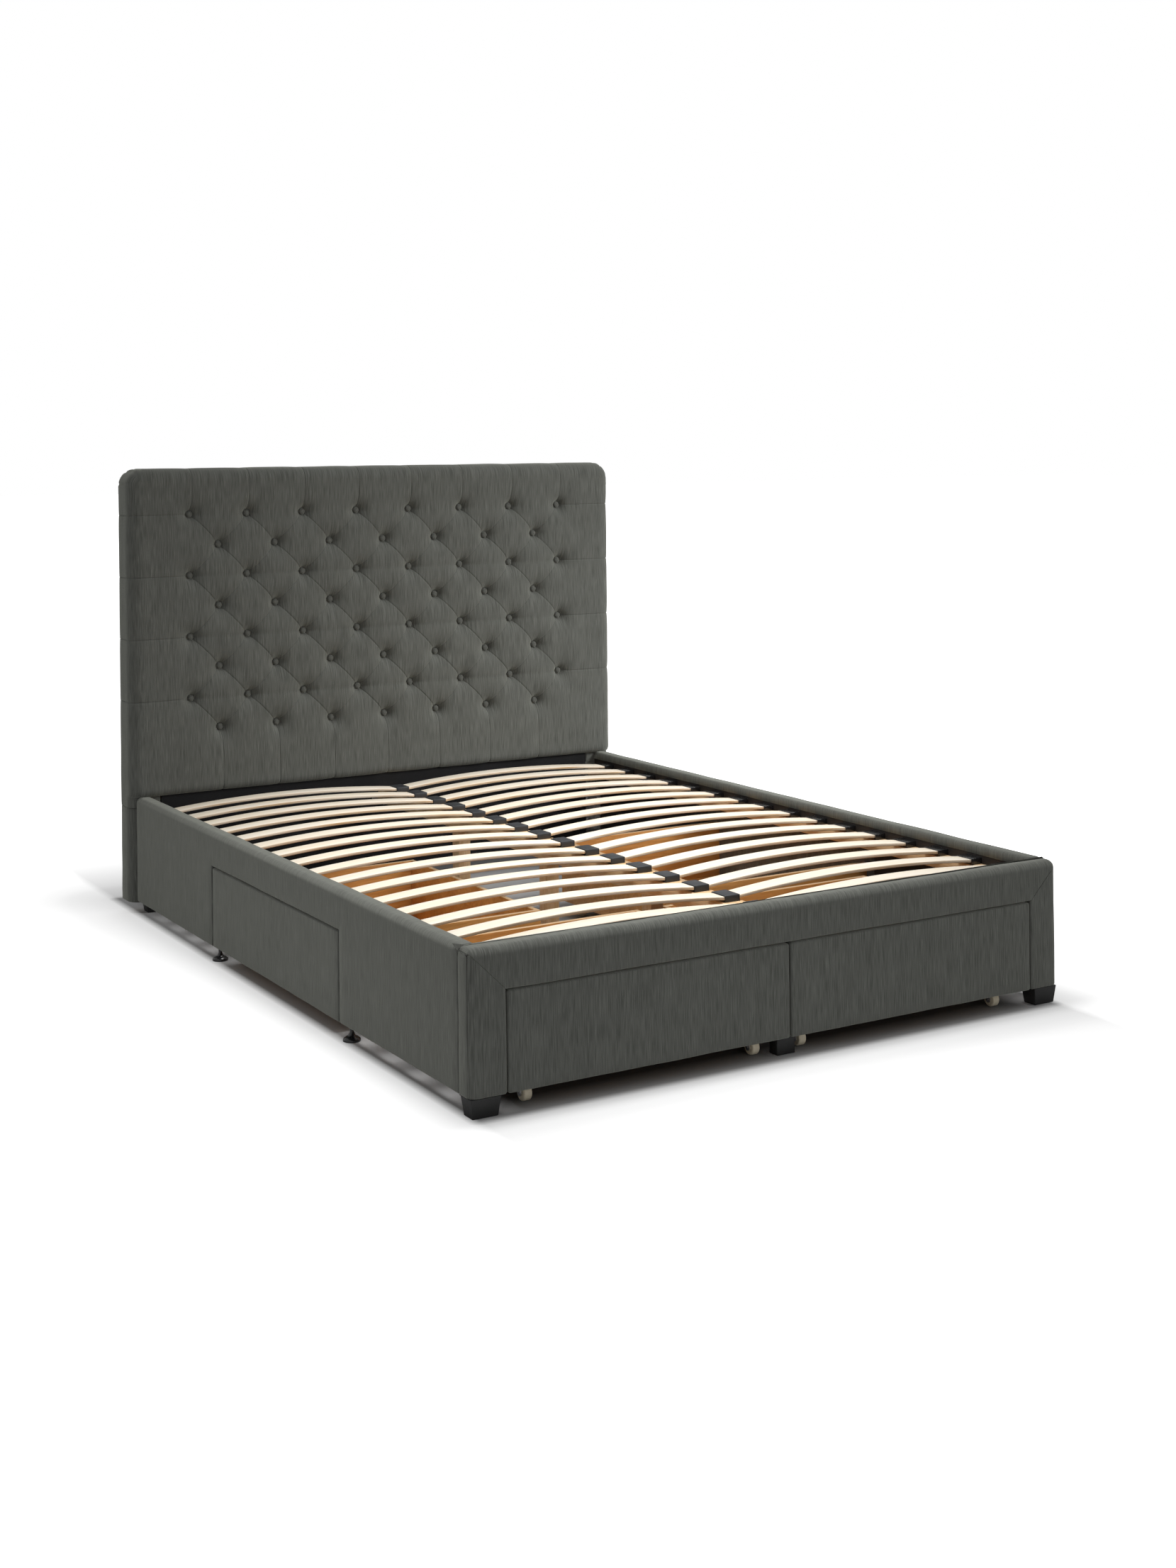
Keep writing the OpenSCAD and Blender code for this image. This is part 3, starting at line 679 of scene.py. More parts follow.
@dataclass
class Tufting:
    """The buttons and the pleats between them, in the flat coordinates of the cloth."""

    columns: int
    rows: int
    pitch: float
    step: float
    top_row: float
    reach: float
    top: float
    bottom: float
    button_r: float
    pull: float = 0.027
    pull_slope: float = 0.020
    neck: float = 0.006
    neck_slope: float = 0.0105
    crown: float = 0.0018
    crown_slope: float = 0.016
    crease: float = 0.0015
    crease_w: float = 0.0011
    fold: float = 0.0004
    fold_w: float = 0.0030
    fold_start: float = 0.008
    puckers: int = 8
    pucker: float = 0.0006
    pucker_slope: float = 0.016
    pucker_start: float = 0.004

    def button(self, row: int, column: int) -> Flat:
        """The place of one button, across and up."""
        middle = (self.count(row) - 1) / 2
        return (column - middle) * self.pitch, self.top_row - row * self.step

    def count(self, row: int) -> int:
        """How many buttons a row has."""
        return self.columns - row % 2

    def buttons(self) -> list[Flat]:
        """The places of all buttons."""
        return [self.button(row, column)
                for row in range(self.rows) for column in range(self.count(row))]

    def seams(self) -> list[tuple[Flat, Flat]]:
        """The pleats: the diagonals, level ones on the even rows, and those to the two long edges.

        A level pleat starts at the far side's outer button, so it crosses the whole headboard.
        """
        made = []
        for row in range(self.rows):
            if row % 2 == 0:
                across, up = self.button(row, 0)
                made += [((sign * across, up), (sign * self.reach, up)) for sign in (-1, 1)]
                continue
            for column in range(self.count(row)):
                here = self.button(row, column)
                for near in (row - 1, row + 1):
                    if near < self.rows:
                        made += [(here, self.button(near, column)),
                                 (here, self.button(near, column + 1))]
        for row, end in ((0, self.top), (self.rows - 1, self.bottom)):
            for column in range(self.count(row)):
                here = self.button(row, column)
                made.append((here, (here[0], end)))
        return made

    def height(self, flat: np.ndarray) -> np.ndarray:
        """How far the cloth stands above the padding's plain form.

        Args:
            flat: the points, across and up.

        Returns:
            The heights, in metres, below 0 in the pleats and at the buttons.
        """
        nearest = np.full(len(flat), 1e9)
        side = np.zeros(len(flat))
        for start, end in self.seams():
            a, b = np.array(start), np.array(end)
            along = (b - a) / np.linalg.norm(b - a)
            t = np.clip((flat - a) @ along, 0, np.linalg.norm(b - a))
            gap = flat - a - t[:, None] * along
            distance = np.hypot(gap[:, 0], gap[:, 1])
            up = np.array([-along[1], along[0]])
            if abs(along[0]) < 1e-6:
                up = np.array([-1.0, 0.0])
            elif up[1] < 0:
                up = -up
            closer = distance < nearest
            nearest = np.where(closer, distance, nearest)
            side = np.where(closer, np.sign(np.round((flat - a) @ up, 6)), side)
        radius = np.full(len(flat), 1e9)
        angle = np.zeros(len(flat))
        pulled = np.zeros(len(flat))
        for place in self.buttons():
            away = flat - np.array(place)
            distance = np.hypot(away[:, 0], away[:, 1])
            pulled += np.exp(-np.maximum(distance - self.button_r, 0) / self.pull_slope)
            closer = distance < radius
            radius = np.where(closer, distance, radius)
            angle = np.where(closer, np.arctan2(away[:, 1], away[:, 0]), angle)
        past = np.maximum(radius - self.button_r, 0)
        dimple = self.pull * pulled + self.neck * np.exp(-past / self.neck_slope)
        pillow = self.crown * (1 - np.exp(-nearest / self.crown_slope))
        pinch = self.crease * np.exp(-((nearest / self.crease_w) ** 2))
        lip = (self.fold * side * np.exp(-nearest / self.fold_w)
               * (1 - np.exp(-past / self.fold_start)))
        pucker = (-self.pucker * np.cos(self.puckers * angle) * np.exp(-past / self.pucker_slope)
                  * (1 - np.exp(-past / self.pucker_start)))
        return pillow - dimple - pinch + lip + pucker


@dataclass
class ButtonedHeadboard:
    """The headboard: a tufted cover with covered buttons, its two legs, lining and back cloth."""

    finishes: Finishes
    edge_round: float = 0.038
    corner: float = 0.050
    back_round: float = 0.004
    back_turn: float = 0.009
    foam: float = 0.035
    leg_turn: float = 0.003
    side_foam: float = 0.012
    swell: float = 0.020
    seam_drop: float = 0.032
    leg_edge: float = 0.0035
    # The buttons, and the section of one: its reach as a share of the radius, and its height.
    button_rows: int = 8
    button_r: float = 0.0105
    button_sides: int = 24
    button_sink: float = 0.002
    button_tilt: float = 0.10
    button_section: tuple[Flat, ...] = (
        (0, 0.0068), (0.30, 0.0066), (0.56, 0.0058), (0.78, 0.0043), (0.93, 0.0023),
        (1.0, 0.0002), (0.96, -0.0018), (0.80, -0.0030))
    golden_turn: float = 0.381966
    cloth_shift: Flat = (0.37, 0.11)
    tilt_phase: Flat = (5.1, 3.7)
    # How finely the cloth is divided.
    cells: int = 12
    top_cells: int = 12
    side_cells: int = 14
    low_cells: int = 20
    margin_cell: float = 0.012
    arc_cells: int = 9
    wall_cells: int = 6
    turn_cells: int = 3
    roll_cells: int = 6
    widening: float = 1.7
    border: float = 0.024
    low_border: float = 0.018
    # Unevenness of the padding, and how far from the cloth's rim it is held down.
    uneven: float = 0.0011
    lumps: float = 11
    held: float = 0.03
    # The folds at the top corners: their places round the corner, depth, width and start.
    tucks: tuple[float, ...] = (0.15, 1.25, 1.85)
    tuck: float = 0.0022
    tuck_w: float = 0.10
    tuck_start: float = 0.030
    # The stapled black cloths.
    lining_edge: float = 0.007
    lining_cell: float = 0.02
    lining_slack: float = 0.04
    lining_thickness: float = 0.0006

    def __post_init__(self) -> None:
        """Takes the sizes from the CAD nodes."""
        low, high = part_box("headboard_padding")
        self.half_w, self.top_z, self.back_y, self.low_z = high.x, high.z, high.y, low.z
        self.crown_y = low.y
        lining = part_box("headboard_lining")[1]
        self.lining_half, self.face_y, self.rail_z = lining
        self.core_x = self.half_w - self.corner
        self.core_z = self.top_z - self.corner
        self.flat_rim = self.corner - self.edge_round
        self.arc = self.edge_round * math.pi / 2
        self.wall = self.back_y - 0.001 - self.crown_y - self.edge_round - self.back_round
        self.back_arc = self.back_round * math.pi / 2
        self.margin = self.flat_rim + self.arc + self.wall + self.back_arc + self.back_turn
        self.roll_z = self.rail_z + self.swell
        self.roll_end = self.roll_z - self.swell * math.pi / 2
        flat_bottom = self.roll_end - self.foam
        low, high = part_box("headboard_buttons")
        gaps = self.button_rows - 1
        pitch = (high.x - low.x - 2 * self.button_r) / gaps
        step = (high.z - low.z - 2 * self.button_r) / gaps
        self.tufting = Tufting(self.button_rows, self.button_rows, pitch, step,
                               high.z - self.button_r, self.core_x + self.margin,
                               self.core_z + self.margin, flat_bottom, self.button_r)
        self.ups = self._margin(self.core_z)
        self.outs = self._margin(self.core_x)
        self.low_line = self.roll_z + self.low_border
        self.downs = [self.low_line, self.roll_z + self.low_border / 2, self.roll_z,
                      *divided(self.roll_z, self.roll_end - self.roll_z, self.roll_cells),
                      *divided(self.roll_end, -self.foam, self.turn_cells)]

    def _margin(self, core: float) -> list[float]:
        """Places from a border inside the core's edge out to the end of the cloth."""
        wall_start = self.flat_rim + self.arc
        start = core - self.border
        past = [*steps(start - core, 0, self.margin_cell), 0.0, self.flat_rim,
                *divided(self.flat_rim, self.arc, self.arc_cells),
                *divided(wall_start, self.wall, self.wall_cells),
                *divided(wall_start + self.wall, self.back_arc, self.turn_cells), self.margin]
        return [start] + [core + value for value in past]

    # -- the cloth's form --

    def _profile(self, rho: np.ndarray) -> tuple[np.ndarray, np.ndarray, np.ndarray, np.ndarray]:
        """The section of the padding's edge, from the flat front round to the back.

        Args:
            rho: the distance along the cloth, from the core's edge.

        Returns:
            How far out each point is, its depth, and the outward and forward parts of its normal.
        """
        turn = np.clip((rho - self.flat_rim) / self.edge_round, 0, math.pi / 2)
        reach = np.minimum(rho, self.flat_rim) + self.edge_round * np.sin(turn)
        depth = self.edge_round * (1 - np.cos(turn))
        wall_start = self.flat_rim + self.arc
        depth += np.clip(rho - wall_start, 0, self.wall)
        back = np.clip((rho - wall_start - self.wall) / self.back_round, 0, math.pi / 2)
        reach -= self.back_round * (1 - np.cos(back))
        depth += self.back_round * np.sin(back)
        reach -= np.maximum(rho - wall_start - self.wall - self.back_arc, 0)
        out = np.sin(turn) * np.cos(back)
        forward = np.where(back > 0, -np.sin(back), np.cos(turn))
        return reach, depth, out, forward

    def wrap(self, flat: np.ndarray) -> tuple[np.ndarray, np.ndarray]:
        """Lays the flat cloth over the padding.

        Args:
            flat: the points, across and up.

        Returns:
            Their places and the outward normals there.
        """
        across, up = flat[:, 0], flat[:, 1]
        side = np.maximum(np.abs(across) - self.core_x, 0)
        over = np.maximum(up - self.core_z, 0)
        rho = np.maximum(side, over)
        wide, tall = np.maximum(side, 1e-12), np.maximum(over, 1e-12)
        angle = np.where(side >= over, math.pi / 4 * over / wide,
                         math.pi / 2 - math.pi / 4 * side / tall)
        reach, depth, out, forward = self._profile(rho)
        sign = np.sign(across)
        roll = np.clip((self.roll_z - up) / self.swell, 0, math.pi / 2)
        fade = 1 - np.clip((side - self.flat_rim) / (self.arc + self.wall), 0, 1)
        under = np.clip(self.roll_end - up, 0, None)
        x = sign * (np.minimum(np.abs(across), self.core_x) + reach * np.cos(angle))
        z = (np.clip(up, self.roll_z, self.core_z) + reach * np.sin(angle)
             - self.swell * np.sin(roll))
        leg = np.clip((np.abs(across) - self.lining_half) / self.leg_turn, 0, 1)
        z -= leg * under * self.seam_drop / self.foam
        y = (self.crown_y + depth + fade * self.swell * (1 - np.cos(roll))
             + (1 - leg) * fade * under)
        normal = np.stack([sign * out * np.cos(angle),
                           -forward * np.cos(roll),
                           out * np.sin(angle) - np.sin(roll) * np.abs(forward)], axis=1)
        normal /= np.maximum(np.linalg.norm(normal, axis=1, keepdims=True), 1e-9)
        return np.stack([x, y, z], axis=1), normal

    # -- the patches between the pleats --

    @property
    def rungs(self) -> list[float]:
        """Where a pleat's length is divided: closest together near its two buttons."""
        half = [0.5 * (i / self.cells) ** 1.75 for i in range(self.cells + 1)]
        return half + [1 - value for value in reversed(half[:-1])]

    def line(self, start: Flat, end: Flat) -> list[Vector]:
        """A pleat between two buttons, divided."""
        a, b = Vector(start), Vector(end)
        return [a.lerp(b, value) for value in self.rungs]

    @staticmethod
    def patch(bm: bmesh.types.BMesh, near: Sequence[Vector], far: Sequence[Vector],
              rungs: Sequence[float]) -> None:
        """Adds a grid between two divided lines.

        Args:
            bm: the mesh, in flat coordinates.
            near: the points of the first line.
            far: as many points of the second line.
            rungs: where the lines between them are divided, from 0 to 1.
        """
        across, up = len(near) - 1, len(rungs) - 1
        made = bmesh.ops.create_grid(bm, x_segments=across, y_segments=up, size=0.5)
        for vert in made["verts"]:
            i, j = round((vert.co.x + 0.5) * across), round((vert.co.y + 0.5) * up)
            point = near[i].lerp(far[i], rungs[j])
            vert.co = (point.x, point.y, 0)

    def _widening(self, count: int) -> list[float]:
        """Divisions from 0 to 1 that are close together at their start."""
        return [(i / count) ** self.widening for i in range(count + 1)]

    def _border(self, bm: bmesh.types.BMesh, near: Sequence[Vector], places: Sequence[float],
                cells: int, axis: Axis) -> None:
        """Adds the cloth from a divided line to one edge.

        Args:
            bm: the mesh, in flat coordinates.
            near: the points of the line.
            places: where the cloth past the border is divided, in order.
            cells: how many divisions lie between the line and the first place.
            axis: X towards a side, Y towards the top or the bottom.
        """
        def at(level: float) -> list[Vector]:
            """The line's points, moved to a level."""
            return [Vector((level, point.y) if axis is Axis.X else (point.x, level))
                    for point in near]

        start, end = places[0], places[-1]
        shares = [(place - start) / (end - start) for place in places]
        self.patch(bm, near, at(start), self._widening(cells))
        self.patch(bm, at(start), at(end), shares)

    def _diamonds(self, bm: bmesh.types.BMesh) -> None:
        """Adds the patch between each four buttons."""
        tuft = self.tufting
        for row in range(1, tuft.rows - 1):
            for column in range(tuft.count(row) - 1):
                left, right = tuft.button(row, column), tuft.button(row, column + 1)
                middle = (left[0] + right[0]) / 2
                top, bottom = ((middle, tuft.button(near, 0)[1]) for near in (row - 1, row + 1))
                self.patch(bm, self.line(left, bottom), self.line(top, right), self.rungs)

    def _long_edge(self, bm: bmesh.types.BMesh, row: int, beside: int, places: Sequence[float],
                   cells: int) -> None:
        """Adds the cloth from the zigzag of pleats at an outer row to the top or the bottom.

        Args:
            bm: the mesh, in flat coordinates.
            row: the outer row.
            beside: the row that the zigzag dips to.
            places: where the cloth past the border is divided.
            cells: how many divisions lie between the zigzag and the border.
        """
        tuft = self.tufting
        for column in range(tuft.count(row) - 1):
            left, right = tuft.button(row, column), tuft.button(row, column + 1)
            dip = ((left[0] + right[0]) / 2, tuft.button(beside, 0)[1])
            near = self.line(left, dip) + self.line(dip, right)[1:]
            self._border(bm, near, places, cells, Axis.Y)

    def _side_edge(self, bm: bmesh.types.BMesh, sign: int) -> None:
        """Adds the cloth from the outer buttons to one side, with its two corners.

        Args:
            bm: the mesh, in flat coordinates.
            sign: the sign of X at that side.
        """
        last = self.tufting.rows - 1
        outs = [sign * place for place in self.outs]

        def outer(row: int) -> Vector:
            """The row's outer button at this side."""
            across, up = self.tufting.button(row, 0)
            return Vector((-sign * across, up))

        def outwards(start: Vector) -> list[Vector]:
            """A level line from a button to the end of the cloth, divided."""
            rim = Vector((outs[0], start.y))
            return ([start.lerp(rim, value) for value in self._widening(self.side_cells)]
                    + [Vector((place, start.y)) for place in outs[1:]])

        for row in range(1, last, 2):
            near = (self.line(outer(row - 1), outer(row))
                    + self.line(outer(row), outer(row + 1))[1:])
            self._border(bm, near, outs, self.side_cells, Axis.X)
        self._border(bm, outwards(outer(0)), self.ups, self.top_cells, Axis.Y)
        knee = outer(last - 1)
        near = self.line(outer(last), knee) + outwards(knee)[1:]
        self._border(bm, near, self.downs, self.low_cells, Axis.Y)

    def _divided_at_legs(self, bm: bmesh.types.BMesh) -> None:
        """Cuts the cloth's lower border where it leaves the lining and meets the legs."""
        for place in (self.lining_half, self.lining_half + self.leg_turn):
            for sign in (-1, 1):
                low = [face for face in bm.faces if face.calc_center_median().y < self.low_line]
                parts = {part for face in low for part in (*face.verts, *face.edges)}
                bmesh.ops.bisect_plane(bm, geom=low + list(parts), dist=CUT,
                                       plane_co=(sign * place, 0, 0), plane_no=(1, 0, 0))

    def cover(self) -> bpy.types.Object:
        """Builds the tufted cover.

        Returns:
            The cover's object.
        """
        last = self.tufting.rows - 1
        flat = bmesh.new()
        self._diamonds(flat)
        self._long_edge(flat, 0, 1, self.ups, self.top_cells)
        self._long_edge(flat, last, last - 1, self.downs, self.low_cells)
        for sign in (-1, 1):
            self._side_edge(flat, sign)
        bmesh.ops.remove_doubles(flat, verts=flat.verts[:], dist=MERGE)
        self._divided_at_legs(flat)
        return self._raise(flat)

    def _raise(self, bm: bmesh.types.BMesh) -> bpy.types.Object:
        """Lays the flat cloth over the padding, pulls in its buttons and closes its back."""
        flat = np.array([vert.co[:2] for vert in bm.verts])
        layer = bm.loops.layers.uv.verify()
        for face in bm.faces:
            for loop in face.loops:
                loop[layer].uv = loop.vert.co[:2]
        place, normal = self.wrap(flat)
        height = self.tufting.height(flat)
        rim = np.minimum.reduce([self.tufting.reach - np.abs(flat[:, 0]),
                                 self.tufting.top - flat[:, 1],
                                 flat[:, 1] - self.tufting.bottom])
        hold = np.clip(rim / self.held, 0, 1)
        uneven = self.uneven * np.array([
            noise.noise(Vector((across * self.lumps, up * self.lumps, 3.1)))
            for across, up in flat])
        moved = place + normal * ((height + uneven) * hold)[:, None]
        self._corner_pleats(flat, moved, normal)
        for vert, point in zip(bm.verts, moved):
            vert.co = point
        bmesh.ops.recalc_face_normals(bm, faces=bm.faces[:])
        front = min(bm.faces, key=lambda face: face.calc_center_median().y)
        if front.normal.y > 0:
            bmesh.ops.reverse_faces(bm, faces=bm.faces[:])
        rim_edges = [edge for edge in bm.edges if edge.is_boundary]
        grown = bmesh.ops.extrude_edge_only(bm, edges=rim_edges)
        for part in grown["geom"]:
            if isinstance(part, bmesh.types.BMVert):
                part.co.y = self.face_y + self.foam + 0.002
        bmesh.ops.holes_fill(bm, edges=[edge for edge in bm.edges if edge.is_boundary], sides=0)
        bmesh.ops.recalc_face_normals(bm, faces=bm.faces[:])
        piece = shown("headboard_cover", bm, self.finishes.cloth, FRAME_BODY, CLOTH_SLOT,
                      ["headboard_padding"], sharp=80)
        return piece

    def _corner_pleats(self, flat: np.ndarray, moved: np.ndarray, normal: np.ndarray) -> None:
        """Tucks the spare cloth at the two top corners into three small folds each."""
        side = np.abs(flat[:, 0]) - self.core_x
        over = flat[:, 1] - self.core_z
        inside = (side > 0) & (over > 0)
        rho = np.maximum(side, over)
        ratio = np.where(side >= over, over / np.maximum(side, 1e-9),
                         2 - side / np.maximum(over, 1e-9))
        fade = np.clip((rho - self.tuck_start) / self.tuck_start, 0, 1)
        for place in self.tucks:
            tuck = -self.tuck * np.exp(-(((ratio - place) / self.tuck_w) ** 2))
            moved += normal * (np.where(inside, tuck, 0) * fade)[:, None]

    # -- the smaller pieces --

    def buttons(self) -> bpy.types.Object:
        """Builds the covered buttons, each with its own turn of the cloth.

        Returns:
            The buttons' object.
        """
        dome = bmesh.new()
        chain = [dome.verts.new((share * self.button_r, -height, 0))
                 for share, height in self.button_section]
        edges = [dome.edges.new(pair) for pair in zip(chain, chain[1:])]
        bmesh.ops.spin(dome, geom=chain + edges, cent=(0, 0, 0), axis=(0, 1, 0), angle=math.tau,
                       steps=self.button_sides, use_merge=True)
        bmesh.ops.remove_doubles(dome, verts=dome.verts[:], dist=CUT)
        rim = [edge for edge in dome.edges if edge.is_boundary]
        bmesh.ops.holes_fill(dome, edges=rim, sides=0)
        bmesh.ops.recalc_face_normals(dome, faces=dome.faces[:])
        mesh = bpy.data.meshes.new("one_button")
        dome.to_mesh(mesh)
        dome.free()
        bm = bmesh.new()
        layer = bm.loops.layers.uv.verify()
        base_y = self.crown_y + self.tufting.pull + self.tufting.neck - self.button_sink
        for index, (x, z) in enumerate(self.tufting.buttons()):
            start = len(bm.faces)
            bm.from_mesh(mesh)
            bm.faces.ensure_lookup_table()
            turn = math.tau * ((index * self.golden_turn) % 1)
            cosine, sine = math.cos(turn), math.sin(turn)
            right, up = self.cloth_shift
            faces = bm.faces[start:]
            for face in faces:
                for loop in face.loops:
                    point = loop.vert.co
                    loop[layer].uv = (point.x * cosine - point.z * sine + right * index,
                                      point.x * sine + point.z * cosine + up * index)
            verts = list({vert for face in faces for vert in face.verts})
            nod, sway = (phase * index for phase in self.tilt_phase)
            forward = Matrix.Rotation(self.button_tilt * math.sin(nod), 3, "X")
            sideways = Matrix.Rotation(self.button_tilt * math.cos(sway), 3, "Z")
            bmesh.ops.rotate(bm, verts=verts, cent=(0, 0, 0), matrix=forward @ sideways)
            bmesh.ops.translate(bm, verts=verts, vec=(x, base_y, z))
        bpy.data.meshes.remove(mesh)
        piece = shown("headboard_covered_buttons", bm, self.finishes.cloth, FRAME_BODY,
                      CLOTH_SLOT, ["headboard_buttons"], sharp=70)
        return piece

    def leg(self, side: Side) -> bpy.types.Object:
        """Builds the padded leg beside the lining, below the seam at the rails.

        Args:
            side: the side of the bed.

        Returns:
            The leg's object.
        """
        sign = side.value
        outer, inner = self.half_w, self.lining_half
        back, front, behind = self.back_y - 0.001, self.face_y, self.face_y + self.foam + 0.001
        wall = outer - self.side_foam
        outline = [(inner, front), (outer, front), (outer, back), (wall, back), (wall, behind),
                   (inner, behind)]
        seam_z = self.rail_z - self.seam_drop
        bm = prism([(sign * x, y, self.low_z) for x, y in outline], (0, 0, seam_z - self.low_z))

        def outward(edge: bmesh.types.BMEdge) -> bool:
            """Whether an edge lies clear of the lining and of the panel."""
            return not (lies_at(edge, Axis.X, sign * inner) or lies_at(edge, Axis.Y, behind)
                        or lies_at(edge, Axis.X, sign * wall))

        rounded(bm, self.edge_round, 8, lambda edge: turns(edge, CORNER)
                and lies_at(edge, Axis.X, sign * outer) and lies_at(edge, Axis.Y, front))
        rounded(bm, self.leg_edge, 3, lambda edge: turns(edge, CORNER) and outward(edge))
        sliced(bm, Axis.Z, steps(self.low_z, seam_z, CELL))
        softened(bm, 0.0008, 0.06, sign * 2.3)
        cloth_coordinates(bm, lambda face, point: (
            abs(point.x) + (point.y if abs(face.normal.x) > 0.7 else 0), point.z))
        piece = shown(f"headboard_{side.name.lower()}_leg", bm, self.finishes.cloth, FRAME_BODY,
                      CLOTH_SLOT, sharp=PADDED_SHARP)
        return piece

    def hanging_cloth(self, name: str, node: str, reach: tuple[Flat, Flat], y: float, facing: int,
                      corner: float = 0.0) -> bpy.types.Object:
        """Builds a stapled sheet of black cloth, slightly rippled between its staples.

        Args:
            name: the piece's name.
            node: the CAD node that it stands for.
            reach: the lowest and highest corners, across and up.
            y: the depth of its plane.
            facing: the sign of Y that its face looks at.
            corner: the radius that its two top corners are cut to.

        Returns:
            The sheet's object.
        """
        (left, low), (right, high) = reach
        width, height = right - left, high - low
        bm = bmesh.new()
        made = bmesh.ops.create_grid(bm, x_segments=round(width / self.lining_cell),
                                     y_segments=round(height / self.lining_cell), size=0.5)
        for vert in made["verts"]:
            across, up = left + (vert.co.x + 0.5) * width, low + (vert.co.y + 0.5) * height
            beside, above = abs(across) - (right - corner), up - (high - corner)
            if beside > 0 and above > 0:
                inwards = max(beside, above) / math.hypot(beside, above)
                across = math.copysign(right - corner + beside * inwards, across)
                up = high - corner + above * inwards
            rim = min(across - left, right - across, up - low, high - up)
            slack = min(1.0, rim / self.lining_slack)
            ripple = 0.0009 * noise.noise(Vector((across * 9, up * 4, y)))
            ripple += 0.0005 * noise.noise(Vector((across * 25, up * 11, 2)))
            vert.co = (across, y + facing * (0.0003 + slack * ripple), up)
        bm.normal_update()
        if bm.faces[:][0].normal.y * facing < 0:
            bmesh.ops.reverse_faces(bm, faces=bm.faces[:])
        bmesh.ops.solidify(bm, geom=bm.faces[:], thickness=self.lining_thickness)
        bmesh.ops.recalc_face_normals(bm, faces=bm.faces[:])
        piece = shown(name, bm, self.finishes.lining, FRAME_BODY, "black_cloth", [node])
        return piece

    def build(self) -> None:
        """Builds every piece of the headboard."""
        self.cover()
        self.buttons()
        for side in Side:
            self.leg(side)
        turn = self.half_w - self.lining_edge
        self.hanging_cloth("headboard_dust_cloth", "headboard_back_cloth",
                           ((-turn, self.low_z + 0.002), (turn, self.top_z - self.lining_edge)),
                           self.back_y, 1, self.corner - self.lining_edge)
        self.hanging_cloth("headboard_foot_lining", "headboard_lining",
                           ((-self.lining_half, self.low_z), (self.lining_half, self.rail_z)),
                           self.face_y - 0.001, -1)


# ---- rails, footboard and drawer fronts ----


@dataclass(kw_only=True)
class BoardCover:
    """What the rails' and the footboard's covers share: foam and cloth turned over a board."""

    inner_round: float = 0.009
    soft_edge: float = 0.0045
    gap: float = 0.0035
    wrap: float = 0.023
    fold: float = 0.0015
    recess: float = 0.0025
    level_height: float = 0.05
    levels: int = 5
    lump_height: float = 0.0010
    lump: float = 0.11

    def bare_inside(self, bm: bmesh.types.BMesh, low: float, top: float, inwards: Vector) -> None:
        """Sinks the inner face below the cloth's folded edge.

        Args:
            bm: the cover.
            low: the height of its lower edge.
            top: the height of its top.
            inwards: the direction that the inner face looks.
        """
        fold_z = top - self.wrap
        height = self.level_height * self.levels
        sliced(bm, Axis.Z, [*divided(low, height, self.levels), fold_z])
        bare = [face for face in bm.faces if face.normal.dot(inwards) > 0.9
                and face.calc_center_median().z < fold_z]
        bmesh.ops.inset_region(bm, faces=bare, thickness=self.fold, depth=-self.recess,
                               use_even_offset=True)


@dataclass
class PaddedRail(BoardCover):
    """A side rail's cover: foam and cloth over its board, open at the inner face."""

    finishes: Finishes
    side: Side
    outer_round: float = 0.016

    def build(self) -> bpy.types.Object:
        """Builds the cover.

        Returns:
            The cover's object.
        """
        name = self.side.name.lower()
        sign = self.side.value
        low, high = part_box(f"{name}_rail_cover")
        front_low, front_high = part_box(f"side_{name}_drawer_front")
        outer = max(abs(low.x), abs(high.x))
        inner = min(abs(low.x), abs(high.x))
        near, far = front_low.y - self.gap, front_high.y + self.gap
        head = front_high.z + self.gap
        outline = [(low.y, low.z), (near, low.z), (near, head), (far, head), (far, low.z),
                   (high.y, low.z), (high.y, high.z), (low.y, high.z)]
        bm = prism([(sign * outer, y, z) for y, z in outline], (-sign * (outer - inner), 0, 0))
        top = high.z
        rounded(bm, self.outer_round, 7, lambda edge: lies_at(edge, Axis.Z, top)
                and lies_at(edge, Axis.X, sign * outer))
        rounded(bm, self.inner_round, 5, lambda edge: lies_at(edge, Axis.Z, top)
                and lies_at(edge, Axis.X, sign * inner))
        rounded(bm, self.soft_edge, 3, lambda edge: turns(edge, CORNER)
                and not lies_at(edge, Axis.X, sign * inner))
        sliced(bm, Axis.Y, steps(low.y, high.y, CELL))
        self.bare_inside(bm, low.z, top, Vector((-sign, 0, 0)))
        softened(bm, self.lump_height, self.lump, 4.2 * sign)

        def lay(face: bmesh.types.BMFace, point: Vector) -> Flat:
            """Cloth that runs up the outer face, over the top and down the inner face."""
            depth = outer - abs(point.x)
            if abs(face.normal.y) > 0.7:
                return point.y + depth, point.z
            if depth < (outer - inner) / 2:
                return point.y, point.z + depth
            return point.y, top + depth + (top - point.z)

        cloth_coordinates(bm, lay)
        piece = shown(f"{name}_rail_padding", bm, self.finishes.cloth, FRAME_BODY,
                      CLOTH_SLOT, [f"{name}_rail_cover"], PADDED_SHARP)
        return piece


